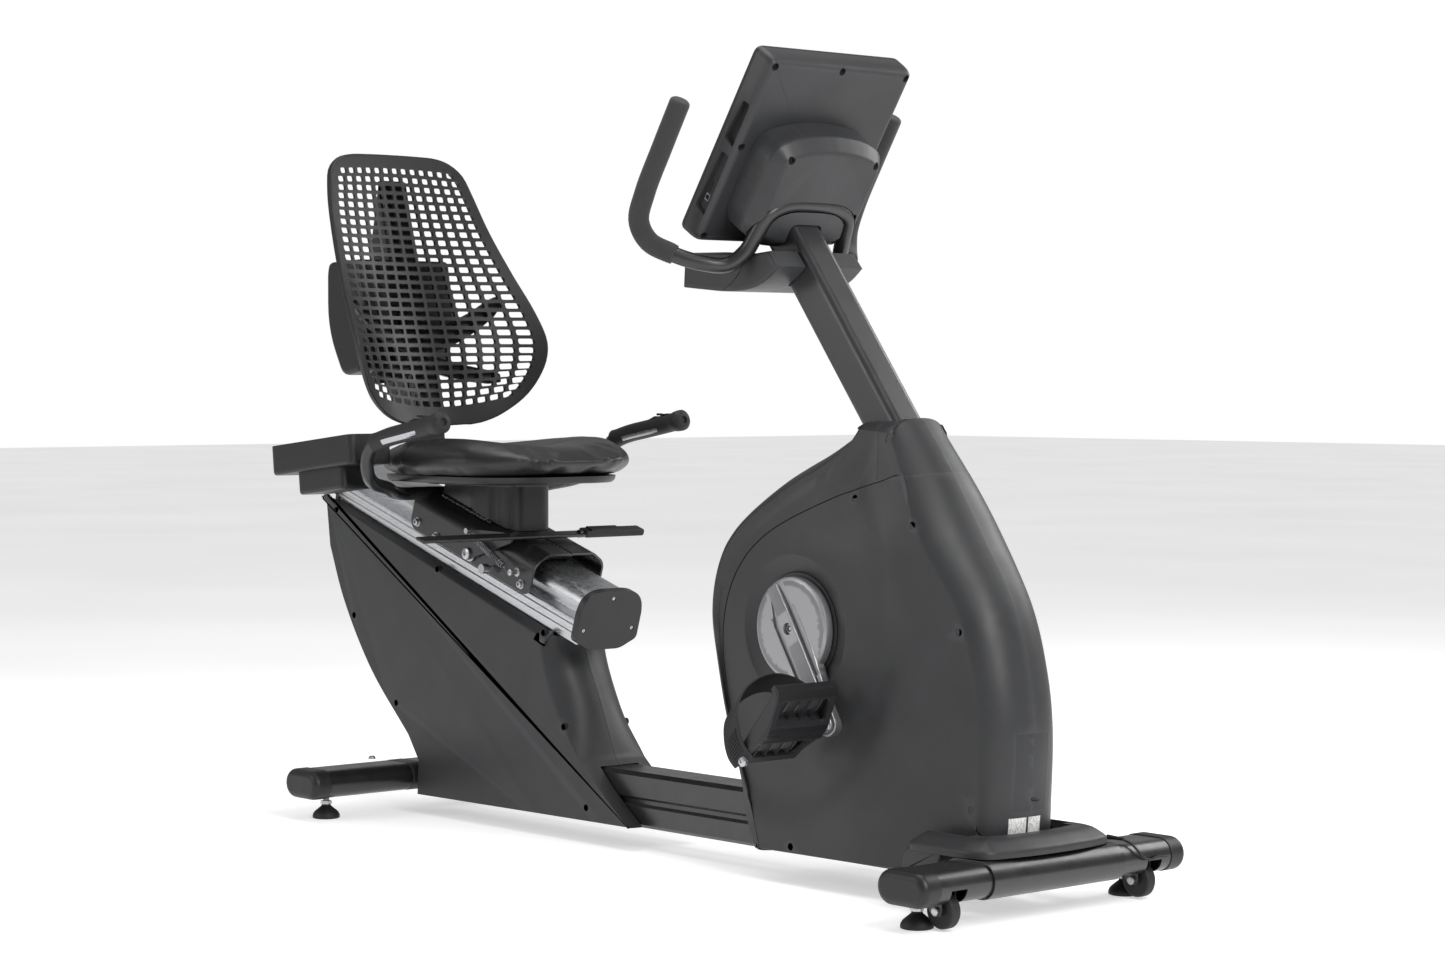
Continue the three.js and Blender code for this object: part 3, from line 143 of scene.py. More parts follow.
def resample(points, count, loop=False):
    p = np.array(points, float)
    run = np.r_[0, np.cumsum(np.linalg.norm(np.diff(p, axis=0), axis=1))]
    at = np.linspace(0, run[-1], count + 1)[:-1] if loop else np.linspace(0, run[-1], count)
    return np.stack([np.interp(at, run, p[:, k]) for k in range(p.shape[1])], 1)


def arc(cx, cy, r, start, end, count):
    """Points on an arc, angles in degrees."""
    a = np.radians(np.linspace(start, end, count))
    return [(cx + r * math.cos(t), cy + r * math.sin(t)) for t in a]


def rounded(points, radius, count=5):
    """A closed outline with its corners rounded; a point may carry its own radius as a third number."""
    out = []
    n = len(points)
    for i in range(n):
        p = np.array(points[i][:2], float)
        r = points[i][2] if len(points[i]) > 2 else radius
        before = np.array(points[i - 1][:2], float) - p
        after = np.array(points[(i + 1) % n][:2], float) - p
        reach = min(r, 0.49 * np.linalg.norm(before), 0.49 * np.linalg.norm(after))
        a = p + before / np.linalg.norm(before) * reach
        b = p + after / np.linalg.norm(after) * reach
        for t in np.linspace(0, 1, count):
            out.append(tuple((1 - t) ** 2 * a + 2 * t * (1 - t) * p + t * t * b))
    return out


def rect(u0, u1, v0, v1):
    return [(u0, v0), (u1, v0), (u1, v1), (u0, v1)]


def oval(width, height, count=24):
    r = height / 2
    flat = width / 2 - r
    return arc(flat, 0, r, -90, 90, count // 2) + arc(-flat, 0, r, 90, 270, count // 2)


def both(half):
    """A half outline (u > 0) closed with its mirror image."""
    return list(half) + [(-u, v) for u, v in reversed(half)]


def moved(outline, du, dv):
    return [(p[0] + du, p[1] + dv) for p in outline]


def inset(outline, distance):
    """The closed outline moved inwards, by one distance or one per point."""
    p = np.array([q[:2] for q in outline], float)
    before, after = np.roll(p, 1, 0), np.roll(p, -1, 0)
    area = np.sum(p[:, 0] * after[:, 1] - after[:, 0] * p[:, 1])
    e1 = (p - before) / np.maximum(np.linalg.norm(p - before, axis=1), 1e-9)[:, None]
    e2 = (after - p) / np.maximum(np.linalg.norm(after - p, axis=1), 1e-9)[:, None]
    n = np.stack([-(e1 + e2)[:, 1], (e1 + e2)[:, 0]], 1) * math.copysign(1, area)
    length = np.linalg.norm(n, axis=1)
    n = n / np.maximum(length, 1e-9)[:, None]
    reach = np.asarray(distance, float) * np.minimum(1.5, 2 / np.maximum(length, 0.01))
    return [tuple(q) for q in p + n * np.broadcast_to(reach, len(p))[:, None]]


# ------------------------------------------------------------------ solids: (corners, faces)
def loft(rings, caps=True, loop=False):
    count = len(rings[0])
    corners = [tuple(map(float, p)) for ring in rings for p in ring]
    faces = []
    last = len(rings) if loop else len(rings) - 1
    for r in range(last):
        a, b = r * count, ((r + 1) % len(rings)) * count
        faces += [(a + i, a + (i + 1) % count, b + (i + 1) % count, b + i) for i in range(count)]
    if caps and not loop:
        faces.append(tuple(reversed(range(count))))
        faces.append(tuple(range((len(rings) - 1) * count, len(rings) * count)))
    return corners, faces


def on(axis, outline, at):
    """An outline of (u, v) laid square to an axis, at a height along it."""
    if axis == "x":
        return [(at, u, v) for u, v in outline]
    if axis == "y":
        return [(u, at, v) for u, v in outline]
    return [(u, v, at) for u, v in outline]


def prism(axis, outline, start, end):
    return loft([on(axis, outline, start), on(axis, outline, end)])


def pillow(axis, outline, start, end, edge, steps=4):
    """A prism whose two ends are rounded over by the given edge."""
    near, far = [], []
    for k in range(steps + 1):
        a = math.pi / 2 * k / steps
        ring = inset(outline, edge * (1 - math.sin(a)))
        run = math.copysign(edge, end - start) * (1 - math.cos(a))
        near.append(on(axis, ring, start + run))
        far.append(on(axis, ring, end - run))
    return loft(near + far[::-1])


def tube(path, radius, sides=16, caps=True, shape=None):
    """A tube along a path; radius is one number or one per point, shape an outline of unit size."""
    p = np.array(path, float)
    radii = np.broadcast_to(np.asarray(radius, float), len(p))
    tangents = np.gradient(p, axis=0)
    tangents /= np.linalg.norm(tangents, axis=1)[:, None]
    start = np.array([0.0, 0, 1]) if abs(tangents[0][2]) < 0.9 else np.array([0.0, 1, 0])
    n = np.cross(tangents[0], start)
    n /= np.linalg.norm(n)
    outline = shape or [
        (math.cos(2 * math.pi * i / sides), math.sin(2 * math.pi * i / sides)) for i in range(sides)
    ]
    rings = []
    for point, t, r in zip(p, tangents, radii):
        n = n - t * np.dot(n, t)
        n /= np.linalg.norm(n)
        b = np.cross(t, n)
        rings.append([point + r * (u * n + v * b) for u, v in outline])
    return loft(rings, caps)


def lathe(profile, origin, axis, sides=32):
    """A solid of revolution of (radius, height) about an axis through a point."""
    k = Vector(axis).normalized()
    i = k.orthogonal().normalized()
    j = k.cross(i)
    rings = []
    for r, h in profile:
        r = max(r, 1e-3)
        rings.append([
            tuple(Vector(origin) + k * h + (i * math.cos(a) + j * math.sin(a)) * r)
            for a in (2 * math.pi * s / sides for s in range(sides))
        ])
    return loft(rings)


def rod(a, b, radius, sides=16):
    span = (Vector(b) - Vector(a)).length
    e = min(0.5, radius / 3)
    return lathe(
        [(radius - e, 0), (radius, e), (radius, span - e), (radius - e, span)], a, Vector(b) - Vector(a),
        sides
    )


def block(x0, x1, y0, y1, z0, z1):
    return prism("z", rect(x0, x1, y0, y1), z0, z1)


def group(*solids):
    corners, faces = [], []
    for c, f in solids:
        base = len(corners)
        corners += list(c)
        faces += [tuple(base + i for i in face) for face in f]
    return corners, faces


def mirror(solid):
    return [(x, -y, z) for x, y, z in solid[0]], [tuple(reversed(f)) for f in solid[1]]


def sided(solid, side):
    """A solid drawn on the rider's right, or its mirror image for the left."""
    return solid if side < 0 else mirror(solid)


# ------------------------------------------------------------------ objects
def sharpen(mesh, degrees):
    mesh.shade_smooth()
    mesh.set_sharp_from_angle(angle=radians(degrees))


def new_object(name, solid, space=BIKE, smooth=32):
    mesh = bpy.data.meshes.new(name)
    mesh.from_pydata([space @ Vector(c) for c in solid[0]], [], [tuple(f) for f in solid[1]])
    bm = bmesh.new()
    bm.from_mesh(mesh)
    bmesh.ops.remove_doubles(bm, verts=bm.verts, dist=2e-6)
    bmesh.ops.recalc_face_normals(bm, faces=bm.faces)
    bm.to_mesh(mesh)
    bm.free()
    sharpen(mesh, smooth)
    ob = bpy.data.objects.new(name, mesh)
    bpy.context.scene.collection.objects.link(ob)
    return ob


def freeze(ob, smooth=32):
    """Applies the object's modifiers to its mesh."""
    bpy.context.view_layer.update()
    depsgraph = bpy.context.evaluated_depsgraph_get()
    mesh = bpy.data.meshes.new_from_object(ob.evaluated_get(depsgraph))
    ob.modifiers.clear()
    ob.data = mesh
    sharpen(mesh, smooth)
    return ob


def in_triangles(mesh):
    bm = bmesh.new()
    bm.from_mesh(mesh)
    bmesh.ops.triangulate(bm, faces=bm.faces)
    bm.to_mesh(mesh)
    bm.free()


def solid_measure(mesh):
    """The mesh's volume, and how many of its edges don't join exactly two faces."""
    bm = bmesh.new()
    bm.from_mesh(mesh)
    volume = bm.calc_volume(signed=True)
    loose = sum(1 for e in bm.edges if not e.is_manifold)
    bm.free()
    return volume, loose


def carve(ob, *solids, space=BIKE, operation="DIFFERENCE", smooth=32):
    """Cuts solids out of the object, or joins them to it, by the first solver whose result is sound.

    A result is sound when it is closed and its volume is one that the operation can leave."""
    for solid in solids:
        cutter = new_object("cutter", solid, space)
        for each in (ob, cutter):
            in_triangles(each.data)
        whole = ob.data
        volume, added = solid_measure(whole)[0], solid_measure(cutter.data)[0]
        most = volume + added if operation == "UNION" else volume * 1.001
        least = volume * (0.999 if operation == "UNION" else 0.03)
        for solver in ("EXACT", "MANIFOLD", "FAST"):
            m = ob.modifiers.new("carve", "BOOLEAN")
            m.operation, m.solver, m.object = operation, solver, cutter
            freeze(ob, smooth)
            now, loose = solid_measure(ob.data)
            if loose == 0 and least <= now <= most:
                break
            ob.data = whole
        bpy.data.objects.remove(cutter)
    return ob


def edges(ob, width, segments=3, angle=32):
    """Rounds the sharp edges."""
    m = ob.modifiers.new("edges", "BEVEL")
    m.width, m.segments = width / 1000, segments
    m.limit_method, m.angle_limit = "ANGLE", radians(angle)
    m.harden_normals = True
    m.use_clamp_overlap = True
    return ob


def flatten_shading(ob):
    """Lets broad faces keep their own flat shading beside their rounded edges."""
    m = ob.modifiers.new("normals", "WEIGHTED_NORMAL")
    m.keep_sharp, m.weight = True, 60


def wear(ob, finish, body, replaces=()):
    """Gives the piece its finish, its body and the CAD nodes it stands for."""
    flatten_shading(ob)
    material, slot = finish
    ob.data.materials.clear()
    ob.data.materials.append(material)
    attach(ob, body)
    if replaces:
        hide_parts(*replaces)
    return ob


def piece(name, solid, finish, body="frame", replaces=(), space=BIKE, bevel=0.0, smooth=32):
    ob = new_object(name, solid, space, smooth)
    if bevel:
        edges(ob, bevel)
    return wear(ob, finish, body, replaces)


# ------------------------------------------------------------------ materials
class Nodes:
    """A short way to write a material's node tree."""

    def __init__(self, name):
        self.material = bpy.data.materials.new(name)
        self.material.use_nodes = True
        self.tree = self.material.node_tree
        self.shader = self.tree.nodes["Principled BSDF"]
        self.place = self.add("ShaderNodeTexCoord").outputs["Object"]

    def add(self, kind, **settings):
        node = self.tree.nodes.new(kind)
        for key, value in settings.items():
            setattr(node, key, value)
        return node

    def link(self, a, b):
        self.tree.links.new(a, b)

    def stretched(self, scale, rotation=(0, 0, 0)):
        node = self.add("ShaderNodeMapping")
        node.inputs["Scale"].default_value = scale
        node.inputs["Rotation"].default_value = rotation
        self.link(self.place, node.inputs["Vector"])
        return node.outputs["Vector"]

    def noise(self, scale, detail=2.0, rough=0.5, where=None):
        node = self.add("ShaderNodeTexNoise")
        node.inputs["Scale"].default_value = scale
        node.inputs["Detail"].default_value = detail
        node.inputs["Roughness"].default_value = rough
        self.link(where or self.place, node.inputs["Vector"])
        return node.outputs["Fac"]

    def cells(self, scale, feature="F1", where=None):
        node = self.add("ShaderNodeTexVoronoi", feature=feature)
        node.inputs["Scale"].default_value = scale
        self.link(where or self.place, node.inputs["Vector"])
        return node.outputs["Distance"]

    def spread(self, value, low, high, start=0.3, end=0.7):
        node = self.add("ShaderNodeMapRange")
        node.inputs["From Min"].default_value = start
        node.inputs["From Max"].default_value = end
        node.inputs["To Min"].default_value = low
        node.inputs["To Max"].default_value = high
        self.link(value, node.inputs["Value"])
        return node.outputs["Result"]

    def tones(self, value, dark, pale, start=0.3, end=0.7):
        node = self.add("ShaderNodeValToRGB")
        node.color_ramp.elements[0].position = start
        node.color_ramp.elements[1].position = end
        node.color_ramp.elements[0].color = (*dark, 1)
        node.color_ramp.elements[1].color = (*pale, 1)
        self.link(value, node.inputs["Fac"])
        return node.outputs["Color"]

    def bumps(self, *layers):
        """Each layer is (height, strength, distance in metres)."""
        normal = None
        for height, strength, distance in layers:
            node = self.add("ShaderNodeBump")
            node.inputs["Strength"].default_value = strength
            node.inputs["Distance"].default_value = distance
            self.link(height, node.inputs["Height"])
            if normal:
                self.link(normal, node.inputs["Normal"])
            normal = node.outputs["Normal"]
        self.link(normal, self.shader.inputs["Normal"])

    def set(self, **values):
        for key, value in values.items():
            self.shader.inputs[key.replace("_", " ")].default_value = value


def mottle_and_edge_highlight(n, base, edge_highlight_gain, mottle=9.0):
    """A colour that varies a little over the piece, and a painted highlight that pales it along its convex
    edges.
    """
    dark = [c * 0.86 for c in base]
    ground = n.tones(n.noise(mottle, 4, 0.6), dark, [c * 1.12 for c in base])
    # Painted highlight: convex edges (high pointiness) are mixed towards a paler colour by the gain, standing
    # in for light caught on the edges.
    edge = n.add("ShaderNodeNewGeometry").outputs["Pointiness"]
    mix = n.add("ShaderNodeMix", data_type="RGBA")
    n.link(n.spread(edge, 0, 1, 0.53, 0.6), mix.inputs["Factor"])
    n.link(ground, mix.inputs["A"])
    mix.inputs["B"].default_value = (*[min(1, c * edge_highlight_gain) for c in base], 1)
    n.link(mix.outputs["Result"], n.shader.inputs["Base Color"])


def moulded(name, base, rough, grain=900, depth=0.00006, edge_highlight_gain=1.5, slot="shell"):
    """Moulded plastic with a spark-eroded texture."""
    n = Nodes(name)
    mottle_and_edge_highlight(n, base, edge_highlight_gain)
    n.link(n.spread(n.noise(14, 5, 0.6), rough - 0.05, rough + 0.06), n.shader.inputs["Roughness"])
    n.bumps((n.noise(grain, 2, 0.6), 0.45, depth), (n.noise(6, 2), 0.12, 0.0012))
    n.set(Specular_IOR_Level=0.4)
    return n.material, slot


def painted(name, base, rough, metallic=0.0, slot="paint", coat=0.35):
    """Powder coat or paint with a faint orange peel and dust."""
    n = Nodes(name)
    mottle_and_edge_highlight(n, base, 1.7, 16)
    n.link(n.spread(n.noise(22, 6, 0.65), rough - 0.06, rough + 0.1), n.shader.inputs["Roughness"])
    n.bumps((n.noise(420, 2, 0.5), 0.18, 0.00012), (n.cells(1600), 0.1, 0.00004))
    n.set(Metallic=metallic, Coat_Weight=coat, Coat_Roughness=0.22)
    return n.material, slot


def metal(name, base, rough, grain, slot="steel"):
    """Metal drawn or turned in one direction: grain is the texture's stretch along X, Y and Z."""
    n = Nodes(name)
    lines = n.noise(1.0, 5, 0.7, n.stretched(*grain))
    n.link(n.tones(lines, [c * 0.82 for c in base], base, 0.25, 0.75), n.shader.inputs["Base Color"])
    n.link(n.spread(lines, rough - 0.07, rough + 0.1), n.shader.inputs["Roughness"])
    n.bumps((lines, 0.05, 0.00003))
    n.set(Metallic=1.0)
    return n.material, slot


def foamed(name, base):
    """Closed-cell foam sleeve: pitted and dull."""
    n = Nodes(name)
    pits = n.cells(650)
    ground = n.tones(pits, [c * 0.6 for c in base], [c * 1.15 for c in base], 0.05, 0.5)
    n.link(ground, n.shader.inputs["Base Color"])
    n.link(n.spread(n.noise(30, 4), 0.82, 0.95), n.shader.inputs["Roughness"])
    n.bumps((pits, 0.5, 0.0002), (n.noise(90, 5, 0.7), 0.35, 0.0005))
    n.set(Specular_IOR_Level=0.25, Sheen_Weight=0.12, Sheen_Roughness=0.6)
    return n.material, "foam"


def leathered(name, base):
    """Smooth upholstery: a fine pebble grain and faint stretch creases."""
    n = Nodes(name)
    mottle_and_edge_highlight(n, base, 1.3, 7)
    pebble = n.cells(850, "SMOOTH_F1")
    n.link(n.spread(n.noise(18, 5, 0.6), 0.34, 0.48), n.shader.inputs["Roughness"])
    n.bumps((pebble, 0.35, 0.00016), (n.noise(70, 5, 0.65), 0.22, 0.0006), (n.noise(9, 2), 0.12, 0.002))
    n.set(Specular_IOR_Level=0.5, Coat_Weight=0.08, Coat_Roughness=0.35)
    return n.material, "padding"


def printed(name, base, ink):
    """A small label: blocks of print too fine to read, on a pale ground."""
    n = Nodes(name)
    rows = n.add("ShaderNodeTexWave", wave_type="BANDS", bands_direction="Z")
    rows.inputs["Scale"].default_value = 160
    rows.inputs["Distortion"].default_value = 0
    n.link(n.place, rows.inputs["Vector"])
    words = n.noise(1.0, 1, 0.5, n.stretched((500, 500, 120)))
    both_on = n.add("ShaderNodeMath", operation="MULTIPLY")
    n.link(n.spread(rows.outputs["Fac"], 0, 1, 0.62, 0.72), both_on.inputs[0])
    n.link(n.spread(words, 0, 1, 0.5, 0.56), both_on.inputs[1])
    n.link(n.tones(both_on.outputs["Value"], base, ink, 0.3, 0.7), n.shader.inputs["Base Color"])
    n.link(n.spread(n.noise(50, 3), 0.4, 0.55), n.shader.inputs["Roughness"])
    return n.material, "trim"


def glossy(name, base):
    n = Nodes(name)
    n.link(n.tones(n.noise(5, 3), base, [c * 1.5 for c in base]), n.shader.inputs["Base Color"])
    n.link(n.spread(n.noise(12, 5, 0.7), 0.04, 0.12), n.shader.inputs["Roughness"])
    n.bumps((n.noise(3, 1), 0.02, 0.001))
    n.set(Coat_Weight=0.5, Coat_Roughness=0.04)
    return n.material, "screen"


SHELL = moulded("shell_plastic", (0.026, 0.0265, 0.028), 0.44)
TRIM = moulded("trim_plastic", (0.011, 0.011, 0.012), 0.42, 700, 0.00005, 1.8, "trim")
SATIN = moulded("satin_plastic", (0.014, 0.014, 0.015), 0.33, 1300, 0.00003, 1.6, "trim")
# Near-black for the linings of screw wells and pockets: painted shade where the holes fall dark, far darker
# than the shell plastic.
PAINTED_SHADE_BLACK = moulded("painted_shade_black", (0.003, 0.003, 0.003), 0.75, 400, 0.0001, 1.2, "trim")
PAINT = painted("black_powder_coat", (0.006, 0.006, 0.0065), 0.3)
TUBE = painted("tube_coat", (0.011, 0.011, 0.012), 0.36)
CRANK_GREY = painted("crank_paint", (0.2, 0.2, 0.205), 0.4, 0.8, "crank", 0.15)
RUBBER = moulded("rubber", (0.011, 0.011, 0.0115), 0.58, 500, 0.0001, 1.5, "rubber")
FOAM = foamed("grip_foam", (0.03, 0.03, 0.031))
LEATHER = leathered("seat_upholstery", (0.007, 0.007, 0.0075))
RAIL_METAL = metal(
    "anodised_rail", (0.72, 0.73, 0.75), 0.3, ((3, 260, 260), (0, radians(17.5), 0)), "anodised"
)
STEEL = metal("plated_steel", (0.52, 0.52, 0.54), 0.3, ((90, 90, 90),))
SPRING = metal("spring_wire", (0.2, 0.2, 0.21), 0.35, ((200, 200, 200),))
IRON = painted("cast_iron", (0.06, 0.06, 0.065), 0.55, 0.4, "iron", 0.0)
SCREEN = glossy("screen_glass", (0.004, 0.004, 0.005))
LABEL = printed("white_label", (0.75, 0.75, 0.73), (0.12, 0.12, 0.12))
YELLOW = printed("yellow_label", (0.72, 0.6, 0.12), (0.06, 0.05, 0.02))


# ------------------------------------------------------------------ moulded covers
def smoothstep(t):
    t = min(1.0, max(0.0, t))
    return t * t * (3 - 2 * t)


def ray_outline(outline, centre, angles):
    """Where rays from the centre meet a closed outline of (x, z, soft): a radius and softness each."""
    p = np.array(outline, float)
    a = np.unwrap(np.arctan2(p[:, 1] - centre[1], p[:, 0] - centre[0]))
    r = np.hypot(p[:, 0] - centre[0], p[:, 1] - centre[1])
    if a[-1] < a[0]:
        a, r, p = a[::-1], r[::-1], p[::-1]
    order = np.argsort(np.mod(a, 2 * math.pi))
    a, r, soft = np.mod(a, 2 * math.pi)[order], r[order], p[order, 2]
    a = np.r_[a[-1] - 2 * math.pi, a, a[0] + 2 * math.pi]
    r, soft = np.r_[r[-1], r, r[0]], np.r_[soft[-1], soft, soft[0]]
    t = np.mod(angles, 2 * math.pi)
    return np.interp(t, a, r), np.interp(t, a, soft)


def dense(*runs):
    """Joins runs of (x, z, soft) into one closed outline with short straight steps."""
    points = [tuple(p) for run in runs for p in run]
    out = []
    for a, b in zip(points, points[1:] + points[:1]):
        steps = max(1, int(math.dist(a[:2], b[:2]) // 6))
        out += [tuple(np.array(a) + (np.array(b) - np.array(a)) * i / steps) for i in range(steps)]
    return out


SHROUD_OUTLINE = dense(
    spline(
        [
            (522, 771, 0.6), (582, 696, 0.8), (652, 594, 1), (723, 483, 1), (757, 378, 1), (770, 286, 1),
            (758, 117, 0.7)
        ],
        60
    ),
    [(757, 101, 0.5), (716, 101, 0.1), (700, 58, 0.1), (583, 52, 0.1), (249, 46, 0.2)],
    spline(
        [
            (196, 139, 0.7), (150, 239, 0.8), (121, 349, 0.8), (106, 443, 0.8), (121, 524, 0.8),
            (164, 595, 0.8), (255, 667, 0.8), (368, 721, 0.6), (425, 750, 0.4)
        ],
        60
    ),
    [(432, 766, 0.3)],
)
SHROUD_STEPS = (
    (0.4, 0), (14, 0.3), (30, 1.3), (45, 3), (58, 5.6), (70, 9), (80, 13), (89, 17.5), (97, 22.5),
    (103, 27), (108, 32), (112, 37.5), (114.4, 42), (115, 46)
)
SHROUD_SEAM = [
    (548, 690), (533, 678), (403, 639), (258, 572), (189, 502), (161, 416), (174, 291), (207, 188),
    (236, 60)
]


def shroud_width(x, z):
    """How far the shroud's side stands out, as a share of its full depth: less at the neck and the nose."""
    neck = 1 - 0.46 * smoothstep((z - 540) / 235)
    nose = 1 - 0.3 * smoothstep((x - 470) / 240)
    return neck * nose


def shroud_dish(x, z):
    """Depth of the broad shallow dish round the crank."""
    q = math.hypot((x - 298) / 284, (z - 425) / 334)
    edge = smoothstep((1.0 - q) / 0.16)
    fade = smoothstep((math.hypot(x - CRANK[0], z - CRANK[1]) - 118) / 90)
    return 6.5 * edge * (0.35 + 0.65 * fade)


def shroud_half(side):
    """An open skin of rings: centre seam, shoulder, side panel and the crank's recess, in that order."""
    corners = [(757, 101), (716, 101), (700, 58), (249, 46), (432, 766), (522, 771)]
    angles = sorted(
        set(np.radians(np.arange(0, 360, 1.5)).round(5))
        | {round(math.atan2(z - CRANK[1], x - CRANK[0]) % (2 * math.pi), 5) for x, z in corners}
    )
    radius, soft = ray_outline(SHROUD_OUTLINE, CRANK, angles)
    ways = [(math.cos(a), math.sin(a)) for a in angles]
    edge = [(CRANK[0] + r * u, CRANK[1] + r * v) for r, (u, v) in zip(radius, ways)]
    rings = []
    for depth, soften in SHROUD_STEPS:
        ring = inset(edge, soften * soft)
        rings.append([(x, side * depth * shroud_width(x, z), z) for x, z in ring])
    last = inset(edge, SHROUD_STEPS[-1][1] * soft)
    outer = [math.hypot(x - CRANK[0], z - CRANK[1]) for x, z in last]
    seam = np.array(spline(SHROUD_SEAM, 120))
    seam_angle = np.mod(np.arctan2(seam[:, 1] - CRANK[1], seam[:, 0] - CRANK[0]), 2 * math.pi)
    seam_radius = np.hypot(seam[:, 0] - CRANK[0], seam[:, 1] - CRANK[1])
    at_seam, groove = [], []
    for a, r in zip(angles, outer):
        on_seam = seam_angle.min() <= a <= seam_angle.max()
        s = float(np.interp(a, seam_angle, seam_radius))
        if not on_seam:
            away = min(abs(a - seam_angle.min()), abs(a - seam_angle.max()))
            s = s + (0.86 * r - s) * smoothstep(away / 0.5)
        at_seam.append(min(s, r - 4.5))
        groove.append(1.0 if on_seam else 0.0)

    def ring_at(radii, sunk):
        ring = []
        for (u, v), r, d in zip(ways, radii, sunk):
            x, z = CRANK[0] + r * u, CRANK[1] + r * v
            ring.append((x, side * (shroud_face(x, z) - d), z))
        return ring

    none = [0.0] * len(angles)
    for t in (0.3, 0.65):
        rings.append(ring_at([o + (s + 3 - o) * t for o, s in zip(outer, at_seam)], none))
    for step, sink in ((1.5, 0), (0.7, 2.2), (-0.7, 2.2), (-1.5, 0)):
        rings.append(ring_at([s + step for s in at_seam], [sink * g for g in groove]))
    for t in np.linspace(0, 1, 16)[1:]:
        rings.append(ring_at([(s - 1.5) + (122 - (s - 1.5)) * t for s in at_seam], none))
    for r, d in ((120, 0.6), (118.5, 2), (110, 5), (100, 8.5), (94, 10), (92, 11.5)):
        rings.append(ring_at([r] * len(angles), [d] * len(angles)))
    floor = 103.2
    rings.append([(CRANK[0] + 91.5 * u, side * floor, CRANK[1] + 91.5 * v) for u, v in ways])
    rings.append([(CRANK[0] + 27 * u, side * floor, CRANK[1] + 27 * v) for u, v in ways])
    return loft(rings, caps=False)


def thicken(ob, wall):
    m = ob.modifiers.new("wall", "SOLIDIFY")
    m.thickness, m.offset, m.use_even_offset = wall / 1000, -1, False
    return freeze(ob)


def facing_out(ob, inside):
    """Turns an open skin's faces away from a point inside it."""
    mesh = ob.data
    centre = Vector(inside)
    away = sum((p.center - centre).dot(p.normal) * p.area for p in mesh.polygons)
    if away < 0:
        mesh.flip_normals()
    return ob


def wells(places, side, radius=6.6, depth=9):
    """Screw wells at (x, z, how far out the side stands): the cutters, and cups with a screw head in a
    near-black that paints the shade in the wells.
    """
    cutters, cups = [], []
    for x, z, face in places:
        cutters.append(sided(lathe([(radius, -3), (radius, depth)], (x, -face, z), (0, 1, 0), 24), side))
        bore, bottom = radius - 1, depth + 1.5
        cup = [
            (radius - 0.25, 0.6), (radius - 0.25, bottom), (bore, bottom), (0.01, bottom), (0.01, depth - 1)
        ]
        cup += [(3.2, depth - 1), (3.8, depth - 0.2), (3.8, depth), (bore, depth), (bore, 0.6)]
        cups.append(sided(lathe(cup, (x, -face, z), (0, 1, 0), 24), side))
    return cutters, group(*cups)


SHROUD_WELLS = [(457, 641), (590, 602), (685, 438), (712, 162), (334, 65)]


def shroud_face(x, z):
    """How far out the shroud's side stands."""
    return SHROUD_DEPTH * shroud_width(x, z) - shroud_dish(x, z)


def shroud():
    for hand, side in SIDES:
        half = facing_out(
            new_object(f"shroud_{hand}_cover", shroud_half(side), smooth=40), BIKE @ Vector((400, 0, 400))
        )
        thicken(half, WALL)
        spots = [(x, z, shroud_face(x, z)) for x, z in SHROUD_WELLS]
        cutters, cups = wells(spots, side)
        collar_gap = prism("y", [(474, 800), (500, 671.4), (704, 701.4), (640, 860)], -200, 200)
        window = block(725, 800, -36, 36, 158, 281)
        carve(
            half, group(*cutters), collar_gap, window, prism("x", rect(-45, 45, 20, 137), 200, 730),
            smooth=40
        )
        carve(half, mast_solid(-80, 140, 1.2), smooth=40)
        wear(half, SHELL, "frame", (f"shroud_{hand}",))
        piece(f"shroud_{hand}_screws", cups, PAINTED_SHADE_BLACK)


def mast_solid(t0, t1, margin=0.0):
    lean = radians(37.3)
    outline = rounded(rect(-36 - margin, 36 + margin, -33 - margin, 33 + margin), 14, 6)
    rings = []
    for t in (t0, t1):
        rings.append([
            (
                442.6 + u * math.cos(lean) - t * math.sin(lean), v, 777 + u * math.sin(lean)
                + t * math.cos(lean)
            )
            for u, v in outline
        ])
    return loft(rings)


def skin_solid(ob):
    """An object's own mesh as corners and faces in BIKE millimetres."""
    back = BIKE.inverted()
    return [tuple(back @ v.co) for v in ob.data.vertices], [tuple(p.vertices) for p in ob.data.polygons]


def collar():
    """The upper cover that closes round the foot of the mast."""
    block_side = prism("y", [(474.8, 799), (500.6, 672.2), (703.4, 702.2), (640, 859)], -200, 200)
    halves = []
    for side in (-1, 1):
        skin = facing_out(
            new_object("collar_half", shroud_half(side), smooth=40), BIKE @ Vector((400, 0, 400))
        )
        thicken(skin, WALL)
        carve(skin, block_side, operation="INTERSECT", smooth=40)
        skin.data.transform(Matrix.Translation((0, -side * 0.0006, 0)))
        halves.append(skin)
    ring = halves[0]
    carve(ring, skin_solid(halves[1]), operation="UNION", smooth=40)
    bpy.data.objects.remove(halves[1])
    ring.name = "mast_collar_cover"
    carve(ring, mast_solid(-200, 200, 1.2), smooth=40)
    wear(ring, SHELL, "frame", ("mast_collar",))


HOUSING_STEPS = (
    (0.4, 0), (12, 0.6), (22, 2), (33, 4.8), (42, 8.4), (50, 13), (57, 18.5), (63, 24.5), (68, 31),
    (71.5, 36), (74, 40), (75, 43), (75, 46), (75, 58)
)


